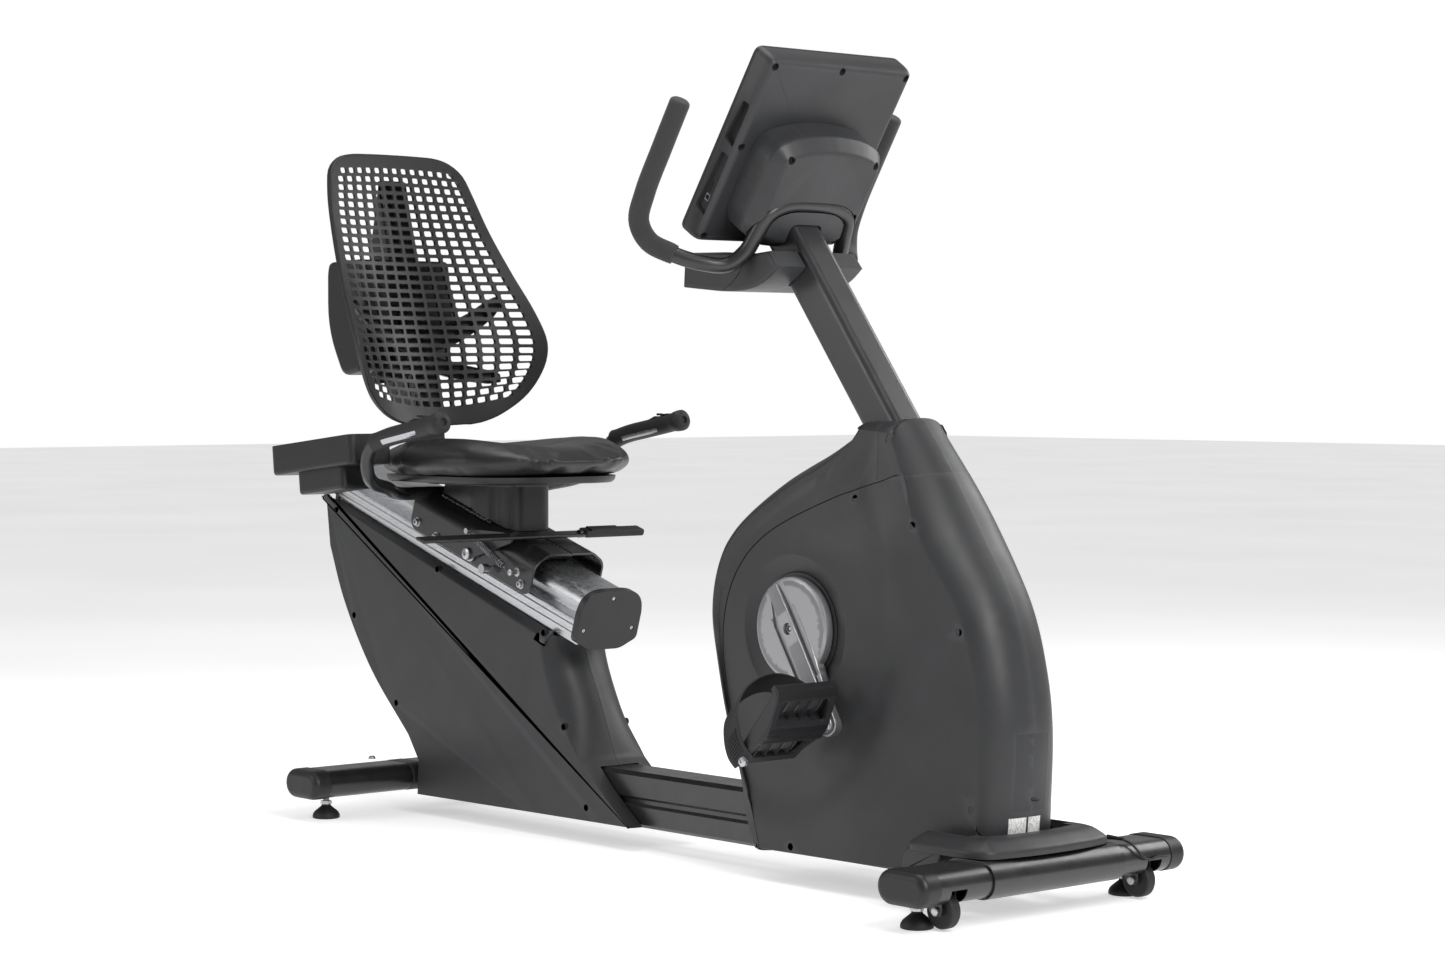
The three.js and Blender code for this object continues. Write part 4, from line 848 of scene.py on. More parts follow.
def housing():
    def slope_point(s, w, soft):
        p = SLOPE @ Vector((s, 0, w))
        return ((p.x - SHIFT) * 1000, p.z * 1000, soft)

    outline = dense(
        [slope_point(-838, -36.5, 0.3)],
        spline([slope_point(-70, -36.5, 0.7), (-345, 342, 0.85), (-302, 250, 0.95), (-258, 150, 0.2)], 30),
        spline([(-215, 108, 0.08), (-170, 72, 0.05), (-127, 40, 0.05)], 10),
        [(-768, 34, 0.1), (-768, 101, 0.2)],
        spline([(-804, 140, 0.35), (-930, 261, 0.35), (-1022, 393, 0.35), (-1070, 500, 0.35)], 30),
    )
    flat = [p[:2] for p in outline]
    soft = np.array([p[2] for p in outline])
    spots = [(-1032, 575), (-974, 370), (-833, 208), (-699, 473), (-374, 372), (-315, 205), (-250, 65)]
    for hand, side in SIDES:
        rings = [
            [(x, side * depth, z) for x, z in inset(flat, soften * soft)] for depth, soften in HOUSING_STEPS
        ]
        corners, faces = loft(rings)
        skin = new_object(f"rear_housing_{hand}_cover", (corners, faces[:-2] + [faces[-1]]), smooth=40)
        facing_out(skin, BIKE @ Vector((-600, 0, 300)))
        thicken(skin, WALL)
        cutters, cups = wells([(x, z, HOUSING_DEPTH) for x, z in spots], side)
        carve(skin, group(*cutters), smooth=40)
        carve(
            skin, prism("x", rect(-58.5, 58.5, -56, -20), -860, -40),
            prism("x", rect(-73.5, 73.5, -54, -20), -860, -798), space=SLOPE, smooth=40
        )
        carve(skin, block(-900, -769.5, -80, 80, 30, 104), block(-900, -100, -44, 44, 20, 137), smooth=40)
        wear(skin, SHELL, "frame", (f"rear_housing_{hand}",))
        piece(f"rear_housing_{hand}_screws", cups, PAINTED_SHADE_BLACK)


# ------------------------------------------------------------------ floor frame
def stabilisers():
    for end, x, z in FLOOR_TUBES:
        outer = moved(oval(104, 52, 40), x, z)
        body = new_object(f"{end}_floor_tube", pillow("y", outer, -262, 262, 0.8, 1))
        carve(body, prism("y", moved(oval(98, 46, 40), x, z), -300, 300))
        if end == "front":
            sleeve = new_object("sleeve", pillow("y", moved(oval(111, 59, 40), x, z), -150, 150, 1.2, 2))
            carve(sleeve, prism("y", moved(oval(103.6, 51.6, 40), x, z), -300, 300))
            carve(
                body,
                *(
                    block(x - 20, x + 60, s * WHEEL_PLACE[1] - 17, s * WHEEL_PLACE[1] + 17, 10, 66)
                    for s in (-1, 1)
                )
            )
            wear(sleeve, PAINT, "frame")
            sleeve.name = "front_tube_sleeve"
        wear(body, PAINT, "frame", (f"{end}_stabiliser_tube",))
        for hand, side in SIDES:
            steps = [(248, 6), (262.4, 6), (262.5, 0.6), (263.4, 0)] + [
                (
                    300 - 13 * (1 - math.sin(a)), 13 * (1 - math.cos(a))
                ) for a in np.linspace(0, math.pi / 2, 8)
            ]
            wide = moved(oval(107, 55, 40), x, z)
            rings = [[(u, side * y, v) for u, v in inset(wide, d)] for y, d in steps]
            piece(f"{end}_{hand}_tube_cap", loft(rings), TRIM, "frame", (f"end_cap_{end}_{hand}",))
    bolts = []
    for side in (-1, 1):
        bolts.append(
            lathe(
                [(8.5, 0), (8.5, 1.6), (7, 1.7), (6.6, 4), (4.5, 5.6), (2.6, 5.8), (2.6, 3.2), (0.01, 3.2)],
                (752, side * 135, 97.5), (0, 0, 1), 24
            )
        )
    piece("front_tube_bolts", group(*bolts), STEEL)


def feet():
    profile = [
        (0.01, 0), (23, 0), (25.6, 1.2), (26, 4), (25.2, 8), (22, 13), (16, 18), (11, 22), (9, 24),
        (8.6, 26), (0.01, 26)
    ]
    nut = [(11, 27), (11, 33)]
    for end, x in (("front", 750), ("rear", -834)):
        for hand, side in SIDES:
            at = (x, side * FOOT_Y, 0)
            body = f"{end}_{hand}_foot"
            piece(
                f"{end}_{hand}_foot_pad", lathe(profile, at, (0, 0, 1), 40), RUBBER, body,
                (f"levelling_foot_{end}_{hand}",)
            )
            stem = group(
                lathe([(5.6, 24), (5.6, 58)], at, (0, 0, 1), 16),
                lathe(nut, at, (0, 0, 1), 6),
                *(
                    lathe([(5.7, z), (6.2, z + 0.6), (5.7, z + 1.2)], at, (0, 0, 1), 16)
                    for z in np.arange(34, 56, 1.6)
                ),
            )
            piece(f"{end}_{hand}_foot_stem", stem, STEEL, body)


def wheels():
    for hand, side in SIDES:
        x, y, z = WHEEL_PLACE[0], side * WHEEL_PLACE[1], WHEEL_PLACE[2]
        tyre = lathe(
            [
                (17, -9), (22, -10), (26.5, -9.4), (28.3, -7), (28.5, 0), (28.3, 7), (26.5, 9.4), (22, 10),
                (17, 9)
            ],
            (x, y, z), (0, 1, 0), 48
        )
        hub = [
            (4.5, -9.6), (9, -9.6), (10, -7), (16.5, -5), (17.4, -7), (17.4, 7), (16.5, 5), (10, 7),
            (9, 9.6), (4.5, 9.6)
        ]
        piece(f"{hand}_wheel_tyre", tyre, RUBBER, f"{hand}_wheel", (f"transport_wheel_{hand}",))
        piece(f"{hand}_wheel_hub", lathe(hub, (x, y, z), (0, 1, 0), 40), SATIN, f"{hand}_wheel")
        cheek = rounded([(x - 12, 24, 10), (x + 12, 24, 10), (x + 11, 64, 2), (x - 26, 64, 2)], 4)
        fork = group(
            prism("y", cheek, y - 17, y - 13),
            prism("y", cheek, y + 13, y + 17),
            block(x - 26, x + 11, y - 17, y + 17, 63.5, 67.5),
        )
        piece(f"{hand}_wheel_fork", fork, PAINT, bevel=0.8)
        piece(f"{hand}_wheel_axle", group(
            rod((x, y - 21, z), (x, y + 21, z), 3.9),
            lathe([(7, 17.1), (7, 21.5), (5, 22.5)], (x, y, z), (0, 1, 0), 6),
            lathe([(7, 17.1), (7, 20.5), (4, 22)], (x, y, z), (0, -1, 0), 24),
        ), STEEL)


def skirt():
    """The front foot's cover: a low apron up to the shroud, with a wing behind the tube on each side."""
    plan = rounded(
        [
            (626, -118, 10), (640, -150, 16), (700, -152, 30), (772, -152, 30), (806, -138, 30),
            (819, -60, 40), (820, 0, 5), (819, 60, 40), (806, 138, 30), (772, 152, 30), (700, 152, 30),
            (640, 150, 16), (626, 118, 10)
        ],
        10, 6
    )
    steps = [
        (99.4, 0.6), (100, 0), (106, 0), (109, 0.5), (111.5, 2), (114, 5), (118, 11), (122, 17),
        (125.5, 24), (127.6, 31)
    ]
    apron = new_object(
        "front_foot_cover", loft([[(u, v, z) for u, v in inset(plan, d)] for z, d in steps]), smooth=40
    )
    side_view = rounded(
        [
            (626, 61, 3), (690, 61, 8), (708, 84, 8), (715, 100, 2), (715, 105, 1), (640, 105, 6),
            (628, 92, 8)
        ],
        4
    )
    carve(
        apron, pillow("y", side_view, -149, -117, 5), pillow("y", side_view, 117, 149, 5),
        operation="UNION", smooth=40
    )
    carve(apron, block(600, 741, -116.8, 116.8, 40, 160), block(600, 764, -98, 98, 40, 160), smooth=40)
    swept = loft(
        [
            [
                (x, y, z) for x,
                y in rounded([(690, -101), (764, -101, 60), (776, 0, 90), (764, 101, 60), (690, 101)], 8)
            ]
            for z in (40, 160)
        ]
    )
    carve(apron, swept, smooth=40)
    wear(apron, SHELL, "frame", ("front_skirt",))


def rear_foot_cover():
    _, x, z = FLOOR_TUBES[1]
    stations = [
        (-152, 118, 62, 0, 1, 14), (-146, 120, 66, 1, 1, 16), (-124, 124, 70, 3, 2, 18),
        (-106, 160, 88, 18, 12, 20), (-92, 198, 104, 27, 21, 24), (-76, 206, 108, 27, 23, 26)
    ]

    def ring(station, side):
        y, w, h, dx, dz, r = station
        return [
            (u + x + dx, side * -y, v + z + dz) for u,
            v in rounded(rect(-w / 2, w / 2, -h / 2, h / 2), r, 6)
        ]

    body = new_object(
        "rear_foot_cover_shell",
        loft([ring(s, -1) for s in stations] + [ring(s, 1) for s in stations[::-1]]), smooth=40
    )
    wing = rounded([(-772, 36, 2), (-523, 41, 4), (-600, 96, 40), (-673, 146, 30), (-740, 147, 4)], 6)
    carve(body, pillow("y", wing, -91, -60, 6), pillow("y", wing, 60, 91, 6), operation="UNION", smooth=40)
    hollow = [(-896, 10), (-896, 128), (-884, 138), (-724, 138), (-712, 128), (-712, 10)]
    carve(
        body,
        prism("y", moved(oval(105.4, 53.4, 40), x, z), -170, 170),
        prism("y", hollow, -74, 74),
        block(-772, -400, -75.8, 75.8, 10, 170),
        block(-900, -400, -44, 44, 10, 137),
        smooth=40,
    )
    carve(
        body,
        *(
            prism("y", [(-809.6, 118), (-808.4, 119), (-708.4, 34), (-709.6, 33)], side * 89.4, side * 96)
            for side in (-1, 1)
        ),
        smooth=40
    )
    wear(body, SHELL, "frame", ("rear_foot_cover",))
    heads = [
        lathe(
            [(7.6, 0), (7.6, 1.4), (6.4, 1.6), (6, 4), (4, 5.4), (0.01, 5.6)], (-830, side * 134, 105),
            (0, 0, 1), 24
        )
        for side in (-1, 1)
    ]
    piece("rear_foot_bolts", group(*heads), STEEL)


# ------------------------------------------------------------------ rail
RAIL_HALF = [
    (0, 50), (26, 50), (34, 49), (42, 46.5), (49, 42.5), (54.5, 37), (58, 31), (59.2, 26), (59, 23),
    (57, 22), (40, 20),
    (40, -1), (60, -4), (61.8, -6), (62, -9), (59.5, -11), (59.5, -15), (62, -17), (62, -23), (59.5, -25),
    (59.5, -29),
    (62, -31), (62, -36), (55, -36), (55, -50), (0, -50),
]


def rail():
    outer = RAIL_HALF + [(-u, v) for u, v in RAIL_HALF[::-1]][1:-1]
    body = new_object("rail_extrusion", prism("x", outer, -800, -15.4), SLOPE)
    carve(body, prism("x", rounded(rect(-30, 30, -36, 34), 5), -820, 20), space=SLOPE)
    edges(body, 0.5, 2)
    wear(body, RAIL_METAL, "frame", ("seat_rail",))
    crown = [(0, 57), (24, 57), (40, 55, 20), (56, 48, 20), (67, 35, 16), (72, 16, 16)]
    for name, low, start, end, node in (
        ("front", [(72, -38, 8), (36, -57, 10), (0, -57)], -15, 0, "rail_end_cap_front"),
        ("rear", [(72, -33, 6), (57, -36, 3), (56, -52, 4), (0, -52)], -800.4, -815.4, "rail_end_cap_rear"),
    ):
        half = crown + low
        outline = rounded(half + [(-p[0], *p[1:]) for p in half[::-1]][1:-1], 4, 6)
        cap = new_object(f"rail_{name}_cap", pillow("x", outline, start, end, 1.2, 3), SLOPE, 40)
        if name == "front":
            screws = [(0, 41), (-56, -18), (56, -18)]
            carve(
                cap, group(*(lathe([(4.2, -4), (4.2, 4)], (end, u, v), (1, 0, 0), 20) for u, v in screws)),
                space=SLOPE, smooth=40
            )
            heads = [
                lathe(
                    [(3.9, -4.4), (3.9, -2), (3.2, -1.2), (1.5, -1.2), (1.5, -2.4), (0.01, -2.4)],
                    (end, u, v), (1, 0, 0), 20
                )
                for u, v in screws
            ]
            piece("rail_cap_screws", group(*heads), STEEL, space=SLOPE)
        wear(cap, SATIN, "frame", (node,))


def nose():
    """The inlet's recess at the foot of the nose: a rounded tray with its switch, sockets and labels."""
    recess = rounded([(-35, 158), (35, 158), (35, 268), (28, 280), (-28, 280), (-35, 268)], 8)
    tray = new_object(
        "inlet_recess", loft([on("x", inset(recess, 0.4), 749), on("x", inset(recess, 0.4), 742.4)]),
        smooth=30
    )
    carve(tray, prism("x", inset(recess, 5), 745.2, 760), smooth=30)
    edges(tray, 0.8)
    wear(tray, SATIN, "frame", ("inlet_panel",))
    yellow = pillow("x", rounded(rect(-15, 15, 190, 222), 2), 745.4, 746.4, 0.3, 1)
    piece("inlet_yellow_label", yellow, YELLOW)
    bits = group(
        lathe([(7, 745.4), (7, 750), (5.5, 751), (5.5, 758), (3.5, 759)], (0, 2, 238), (1, 0, 0), 6),
        lathe([(6, 745.4), (6, 748), (4.6, 749), (4.6, 753)], (0, 2, 206), (1, 0, 0), 24),
        tube([(752, 2, 206), (758, 2, 207), (763, 2, 210)], [2.4, 2.1, 2.7], 12),
        lathe([(5.5, 745.4), (5.5, 755), (4, 756), (4, 759)], (0, 2, 178), (1, 0, 0), 20),
    )
    piece("inlet_fittings", bits, STEEL)
    piece(
        "inlet_plug",
        tube([(757, 2, 178), (762, 4, 177), (765, 9, 176), (766, 15, 175)], [3.4, 3.4, 2.6, 2.0], 12),
        RUBBER
    )
    screws = [
        lathe([(3.6, 745.4), (3.6, 747.4), (2, 748.4)], (0, y, 231), (1, 0, 0), 16) for y in (-23, 23)
    ]
    piece("inlet_screws", group(*screws), STEEL)
    for k, (y0, y1) in enumerate(((-42, -7), (-2, 26))):
        rings = []
        for z in np.linspace(124, 149, 4):
            front, back = ([nose_point(y, z, out) for y in np.linspace(y0, y1, 7)] for out in (0.7, -0.4))
            rings.append(front + back[::-1])
        piece(f"blank_label_{k + 1}", loft(rings), LABEL)


def nose_point(y, z, out):
    """A point on the shroud's nose, at a height and a distance from the centre line."""
    edge = np.array([p for p in SHROUD_OUTLINE if p[0] > 500 and p[1] > 101])
    order = np.argsort(edge[:, 1])
    x = float(np.interp(z, edge[order, 1], edge[order, 0]))
    depths = [d for d, _ in SHROUD_STEPS]
    inward = [s for _, s in SHROUD_STEPS]
    soft = float(np.interp(z, edge[order, 1], edge[order, 2]))
    return (x + out - soft * float(np.interp(abs(y) / 0.7, depths, inward)), y, z)


def mast():
    post = new_object("mast_tube", mast_solid(-330, 385), smooth=30)
    carve(post, mast_solid(-340, 395, -3), smooth=30)
    wear(post, TUBE, "frame", ("mast",))


# ------------------------------------------------------------------ console
POCKET = [(6.5, -8), (6.5, 4)]
SUNK_SCREW = [(6.3, -9.5), (6.3, -8.4), (3.4, -8.4), (3.4, -5.6), (1.6, -5.6), (1.6, -7.4)]


def on_back(profile, at, places):
    """The same turned shape at each (y, z) of a face that looks back."""
    return group(*(lathe(profile, (at, y, z), (1, 0, 0), 24) for y, z in places))


def console():
    face = rounded(rect(-163, 163, -175, 175), 16, 7)
    shell = new_object("console_shell", loft([
        on("x", inset(face, d), x)
        for x, d in (
            (-40, 0), (-22, 0.4), (-14, 1.2), (-8, 2.6), (-4, 4.6), (-1.6, 7.4), (-0.4, 10.4), (0, 13)
        )
    ]), HEAD, 36)
    slots = (((-33, -9), (4, 84), 11), ((-34, -8), (-126, -12), 7))
    for (x0, x1), (z0, z1), deep in slots:
        notch = rounded([(x0, z0 + 6, 3), (x1, z0, 3), (x1, z1, 4), (x0 + 8, z1, 4)], 3)
        for side in (-1, 1):
            carve(shell, prism("y", notch, side * (163 - deep), side * 170), space=HEAD, smooth=36)
    places = [(y, z) for y in (-149, 149) for z in (160, -160)] + [(0, 162), (-149, 10), (149, 10)]
    carve(shell, on_back(POCKET, 0, places), space=HEAD, smooth=36)
    wear(shell, SHELL, "frame", ("console_back_shell",))
    # The sunk screws' pockets are lined in near-black: painted shade in the pockets.
    piece("console_shell_screws", on_back(SUNK_SCREW, 0, places), PAINTED_SHADE_BLACK, space=HEAD)
    bezel = new_object("console_front_frame", loft([
        on("x", inset(face, d), x) for x, d in ((-40.4, 0), (-44, 0), (-47.5, 1), (-49.4, 2.6), (-50, 5))
    ]), HEAD, 36)
    carve(bezel, prism("x", rounded(rect(-147, 147, -153, 159), 3), -60, -30), space=HEAD)
    wear(bezel, TRIM, "frame", ("console_bezel",))
    glass = pillow("x", rounded(rect(-146.5, 146.5, -152.5, 158.5), 3), -48.6, -41, 0.6, 2)
    piece("console_glass", glass, SCREEN, replaces=("console_screen",), space=HEAD)
    bar = group(
        *(
            pillow("x", rounded(rect(y - 9, y + 9, -169, -158), 3), -50.6, -49, 0.5, 2)
            for y in (-60, -20, 20, 60)
        )
    )
    piece("console_keys", bar, SATIN, space=HEAD)
    port = new_object("console_port", prism("y", rect(-26, -16, -104, -92), -156.6, -154.4), HEAD)
    wear(port, STEEL, "frame")
    socket = new_object("console_port_tongue", group(
        prism("y", rect(-24.5, -17.5, -102, -94), -157.2, -156.5),
        *(prism("y", rect(-22.4, -20.9, z, z + 8), -156.6, -156.1) for z in (-88, -78)),
    ), HEAD)
    # The port's tongue takes the same near-black as the painted shade in the screw wells.
    wear(socket, PAINTED_SHADE_BLACK, "frame")


BAR_SIDE = [(160, -243, 1216), (115, -243, 1142), (97, -241, 1096), (108, -228, 1062), (140, -200, 1040)]


def bar_path(count):
    half = [(203, -243, 1284)] + BAR_SIDE + [
        (172, -165, 1026), (196, -130, 1024), (216, -108, 1046), (232, -100, 1074), (250, -90, 1106),
        (258, -60, 1122),
        (260, 0, 1126),
    ]
    return spline(half + [(x, -y, z) for x, y, z in half[-2::-1]], count)


def handlebar():
    piece("handlebar_tube", tube(bar_path(150), 13.5, 24), TUBE, replaces=("handlebar",))
    grip = spline([(207, -243, 1290)] + BAR_SIDE, 46)
    along = (grip[0] - grip[1]) / np.linalg.norm(grip[0] - grip[1])
    rounded_end = [grip[0] - along * d for d in (0.1, 1.2, 3.2, 6.5)]
    path = np.vstack([rounded_end, grip[2:]])
    radii = [10, 14.2, 16.4, 17.5] + [17.5] * (len(grip) - 4) + [17.3, 16.6]
    for hand, side in SIDES:
        body = new_object(f"foam_sleeve_{hand}", sided(tube(path, radii, 28), side), smooth=50)
        wear(body, FOAM, "frame", (f"foam_grip_{hand}",))


def rear_cover():
    arch = spline([(0, 66), (40, 63.5), (76, 57), (104, 47)], 10)
    half = [tuple(p) for p in arch] + rounded(
        [
            (104, 47), (118, 38, 8), (127, 18, 8), (127, -102, 10), (112, -128, 10), (70, -146, 10),
            (60, -150)
        ],
        6
    )[5:-5] + [(34, -150)]
    outline = resample(both(half) + [half[0]], 120)[:-1]
    steps = (
        (0.4, 0), (38, 0.3), (44, 1), (48, 2.4), (62, 15), (64.5, 17), (66.6, 19.4), (67.7, 22.4), (68, 26)
    )
    cover = new_object(
        "console_neck_cover", loft([on("x", inset(outline, d), x) for x, d in steps]), HEAD, 36
    )
    spots = [(y, z) for y in (-96, 96) for z in (26, -74)]
    carve(cover, on_back(POCKET, 68, spots), space=HEAD, smooth=36)
    carve(
        cover, loft([on("x", inset(outline, 4), x) for x in (-5, 40)] + [on("x", inset(outline, 20), 58)]),
        space=HEAD, smooth=36
    )
    carve(cover, mast_solid(0, 400, 2.2), tube(bar_path(80), 15.2, 20), smooth=36)
    wear(cover, SHELL, "frame", ("console_rear_cover",))
    # The neck cover's screw pockets are lined in near-black: painted shade in the pockets.
    piece("console_neck_screws", on_back(SUNK_SCREW, 68, spots), PAINTED_SHADE_BLACK, space=HEAD)


def lower_cover():
    floor = [
        tuple(p)
        for p in spline(
            [(44, 990), (98, 985), (150, 981), (200, 982), (234, 989), (262, 1003), (284, 1020)], 22
        )
    ]
    side_view = [(48, 1049)] + floor + [(262, 1046), (226, 1043), (150, 1047)]
    body = new_object("console_tray", pillow("y", side_view, -100, 100, 7, 4), smooth=34)
    carve(
        body,
        prism("y", [(56, 1072), (53, 998), (150, 990), (205, 992), (208, 1072)], -92, 92),
        mast_solid(0, 385, 2.0),
        tube(bar_path(80), 15.2, 20),
        smooth=34,
    )
    for side in (-1, 1):
        groove = [
            (p[0], side * 99.4, p[1])
            for p in spline([(205, 1050), (196, 1020), (176, 998), (150, 984), (140, 978)], 12)
        ]
        carve(body, tube(groove, 1.1, 8), smooth=34)
    wear(body, SHELL, "frame", ("console_lower_cover",))


# ------------------------------------------------------------------ crank and pedals
def crankset():
    disc_rings = [
        (27, -104.6), (84, -105), (85, -106), (85, -116), (84.2, -119), (81, -121), (78, -121.6),
        (74, -122), (60, -122.6), (27, -123)
    ]
    for hand, side in SIDES:
        space = turned(*CRANK, -31 if side < 0 else 149)
        wheel = new_object(
            f"crank_disc_{hand}",
            sided(lathe([(r, -y) for r, y in disc_rings], (0, 0, 0), (0, -1, 0), 72), side), space, 40
        )
        arm = [(31, 40, 20), (33, -40, 10), (27, -100, 20), (21, -150, 20), (19, -194, 18)]
        arm = [(-31, 40, 20)] + arm + [(-u, v, r) for u, v, r in arm[:0:-1]]
        arm_outline = resample(rounded(arm, 8, 6) + [(-31, 40)], 90)[:-1]
        under = sided(pillow("y", arm_outline, -106, -124.6, 3, 3), side)
        carve(wheel, under, space=space, operation="UNION", smooth=40)
        flutes = []
        for turn in (-1, 1):
            flutes.append(
                prism(
                    "y", [(turn * 14, 60), (turn * 18, 20), (turn * 20, -118), (turn * 15.5, -118)][::turn],
                    -118.6, -140
                )
            )
            flutes.append(
                prism(
                    "y",
                    [
                        (turn * 12, 76), (turn * 30, 20), (turn * 27, -96), (turn * 18, -96), (turn * 16, 0)
                    ][::turn],
                    -120.4, -140
                )
            )
        carve(wheel, *(sided(f, side) for f in flutes), space=space, smooth=40)
        spine = rounded(
            [
                (-12, 80, 4), (12, 80, 4), (14.5, 0, 30), (15.5, -120, 20), (13, -186, 12), (-13, -186, 12),
                (-15.5, -120, 20), (-14.5, 0, 30)
            ],
            6, 5
        )
        carve(
            wheel, sided(pillow("y", spine, -116, -128, 2.4, 3), side), space=space, operation="UNION",
            smooth=40
        )
        carve(
            wheel, sided(lathe([(10, 110), (10, 135)], (0, 0, 0), (0, -1, 0), 32), side),
            sided(lathe([(10.5, 117), (10.5, 135)], (0, 0, -CRANK_LENGTH), (0, -1, 0), 32), side),
            space=space, smooth=40
        )
        edges(wheel, 0.7, 2, 40)
        wear(wheel, CRANK_GREY, "crankset", (f"crank_arm_{hand}",))
        bolt = group(
            lathe(
                [(9.7, 109), (9.7, 121), (8.2, 122.6), (5.2, 122.8), (5.2, 117), (0.01, 117)], (0, 0, 0),
                (0, -1, 0), 32
            ),
            lathe([(0.01, 116), (3, 117.2), (3, 122)], (0, 0, 0), (0, -1, 0), 16),
            lathe([(7, 112), (7, 258)], (0, 0, -CRANK_LENGTH), (0, -1, 0), 24),
            lathe([(10, 112), (10, 126), (8.5, 127.4)], (0, 0, -CRANK_LENGTH), (0, -1, 0), 6),
            lathe([(22, 95), (22, 106)], (0, 0, 0), (0, -1, 0), 40),
        )
        piece(f"crank_bolts_{hand}", sided(bolt, side), STEEL, "crankset", space=space)


PEDAL_PLACES = {"right": (430.1, 275.0), "left": (249.9, 575.0)}


def pedals():
    outer, inner = -271, -138.5
    web = rounded(
        [
            (-84, 17, 3), (-84, 6, 3), (-58, 2, 8), (-18, -12, 10), (-14, -16, 4), (14, -16, 6),
            (34, -8, 14), (66, 2, 12), (78, 12, 4), (78, 26, 3), (70, 27, 3), (66, 17, 6)
        ],
        4, 5
    )
    for hand, side in SIDES:
        space = turned(*PEDAL_PLACES[hand], -48.9)
        body = f"{hand}_pedal"
        cage = new_object(
            f"pedal_{hand}_body", sided(pillow("y", web, inner, outer, 3, 3), side), space, 34
        )
        carve(cage, *(sided(s, side) for s in (
            prism("y", rounded([(-78, 11.6), (-58, 7), (-20, -6), (-15, 11.6)], 3), inner - 6, outer + 6),
            prism(
                "y", rounded([(17, 11.6), (19, -8), (34, -3), (66, 8), (68, 11.6)], 3), inner - 6, outer + 6
            ),
            prism("z", rounded(rect(-68, -20, outer + 14, inner - 14), 6), -30, 30),
            prism("z", rounded(rect(22, 62, outer + 14, inner - 14), 6), -30, 30),
        )), space=space, smooth=34)
        ribs = [block(-67, 63, y - 2.2, y + 2.2, 5, 16.6) for y in np.linspace(outer + 30, inner - 30, 4)]
        studs = [
            block(x - 3, x + 3, y - 9, y + 9, 16, 18.6) for x in (-74, 10, 70)
            for y in np.linspace(outer + 24, inner - 24, 5)
        ]
        carve(cage, sided(group(*ribs), side), operation="UNION", space=space, smooth=34)
        carve(
            cage, sided(lathe([(8, -inner - 2), (8, -outer - 12)], (0, 0, 0), (0, -1, 0), 24), side),
            space=space, smooth=34
        )
        edges(cage, 0.8, 2, 34)
        wear(cage, TRIM, body, (f"pedal_{hand}",))
        piece(f"pedal_{hand}_studs", sided(group(*studs), side), RUBBER, body, space=space, bevel=1.0)
        piece(f"pedal_{hand}_barrel", sided(lathe([
            (7.6, 258), (7.6, 139), (15.6, 139), (16.2, 141), (16.2, 168), (14.6, 170), (14.4, 236),
            (16.4, 240),
            (17.2, 243), (17.2, 264), (16.2, 268.4), (12, 270.6), (0.01, 271), (0.01, 262), (7.6, 262),
            (7.6, 258),
        ], (0, 0, 0), (0, -1, 0), 36), side), SATIN, body, space=space)
        run = spline(
            [
                (-66, -268, -6), (-58, -277, 12), (-44, -279, 36), (-26, -272, 62), (-8, -250, 82),
                (4, -220, 92), (10, -190, 92), (12, -162, 80), (12, -143, 56), (12, -134, 30), (12, -133, 8)
            ],
            64
        )
        band = new_object(f"pedal_{hand}_strap", sided(ribbon(run, 21, 1.8), side), space, 50)
        wear(band, RUBBER, body)
        teeth = []
        for k in range(9):
            c, d = run[2 + k], run[3 + k]
            mid = (c + d) / 2
            teeth.append(
                block(mid[0] - 15, mid[0] + 15, mid[1] - 3.4, mid[1] - 1.2, mid[2] - 1.1, mid[2] + 1.1)
            )
        piece(f"pedal_{hand}_strap_teeth", sided(group(*teeth), side), RUBBER, body, space=space)
        fasteners = group(
            lathe(
                [(9, 268), (9, 273), (6.5, 275), (3, 275.4), (3, 273.6), (0.01, 273.6)], (-64, 0, -4),
                (0, -1, 0), 24
            ),
            lathe([(7, 129), (7, 139), (4, 140)], (12, 0, 6), (0, -1, 0), 20),
        )
        piece(f"pedal_{hand}_strap_screws", sided(fasteners, side), STEEL, body, space=space)


def ribbon(path, half_width, half_thick):
    """A flat strap along a path, its width turned to lie along the pedal."""
    p = np.array(path, float)
    tangents = np.gradient(p, axis=0)
    tangents /= np.linalg.norm(tangents, axis=1)[:, None]
    rings = []
    for point, t in zip(p, tangents):
        wide = np.array([1.0, 0, 0]) - t * t[0]
        wide /= np.linalg.norm(wide)
        thick = np.cross(t, wide)
        rings.append([
            point + u * half_width * wide + v * half_thick * thick
            for u, v in (
                (-1, -0.5), (-0.94, -1), (-0.5, -0.82), (0, -0.8), (0.5, -0.82), (0.94, -1), (1, -0.5),
                (1, 0.5), (0.94, 1), (0.5, 0.82), (0, 0.8), (-0.5, 0.82), (-0.94, 1), (-1, 0.5)
            )
        ])
    return loft(rings)


# ------------------------------------------------------------------ carriage
def handle_path(count):
    half = [
        (-412, -282, 754), (-500, -283, 738.5), (-560, -283, 728), (-608, -283, 715), (-632, -281, 690),
        (-645, -270, 658),
        (-668, -240, 640), (-690, -195, 630), (-725, -155, 620), (-744, -120, 616), (-744, -80, 616),
    ]
    return spline(half + [(x, -y, z) for x, y, z in half[::-1]], count)


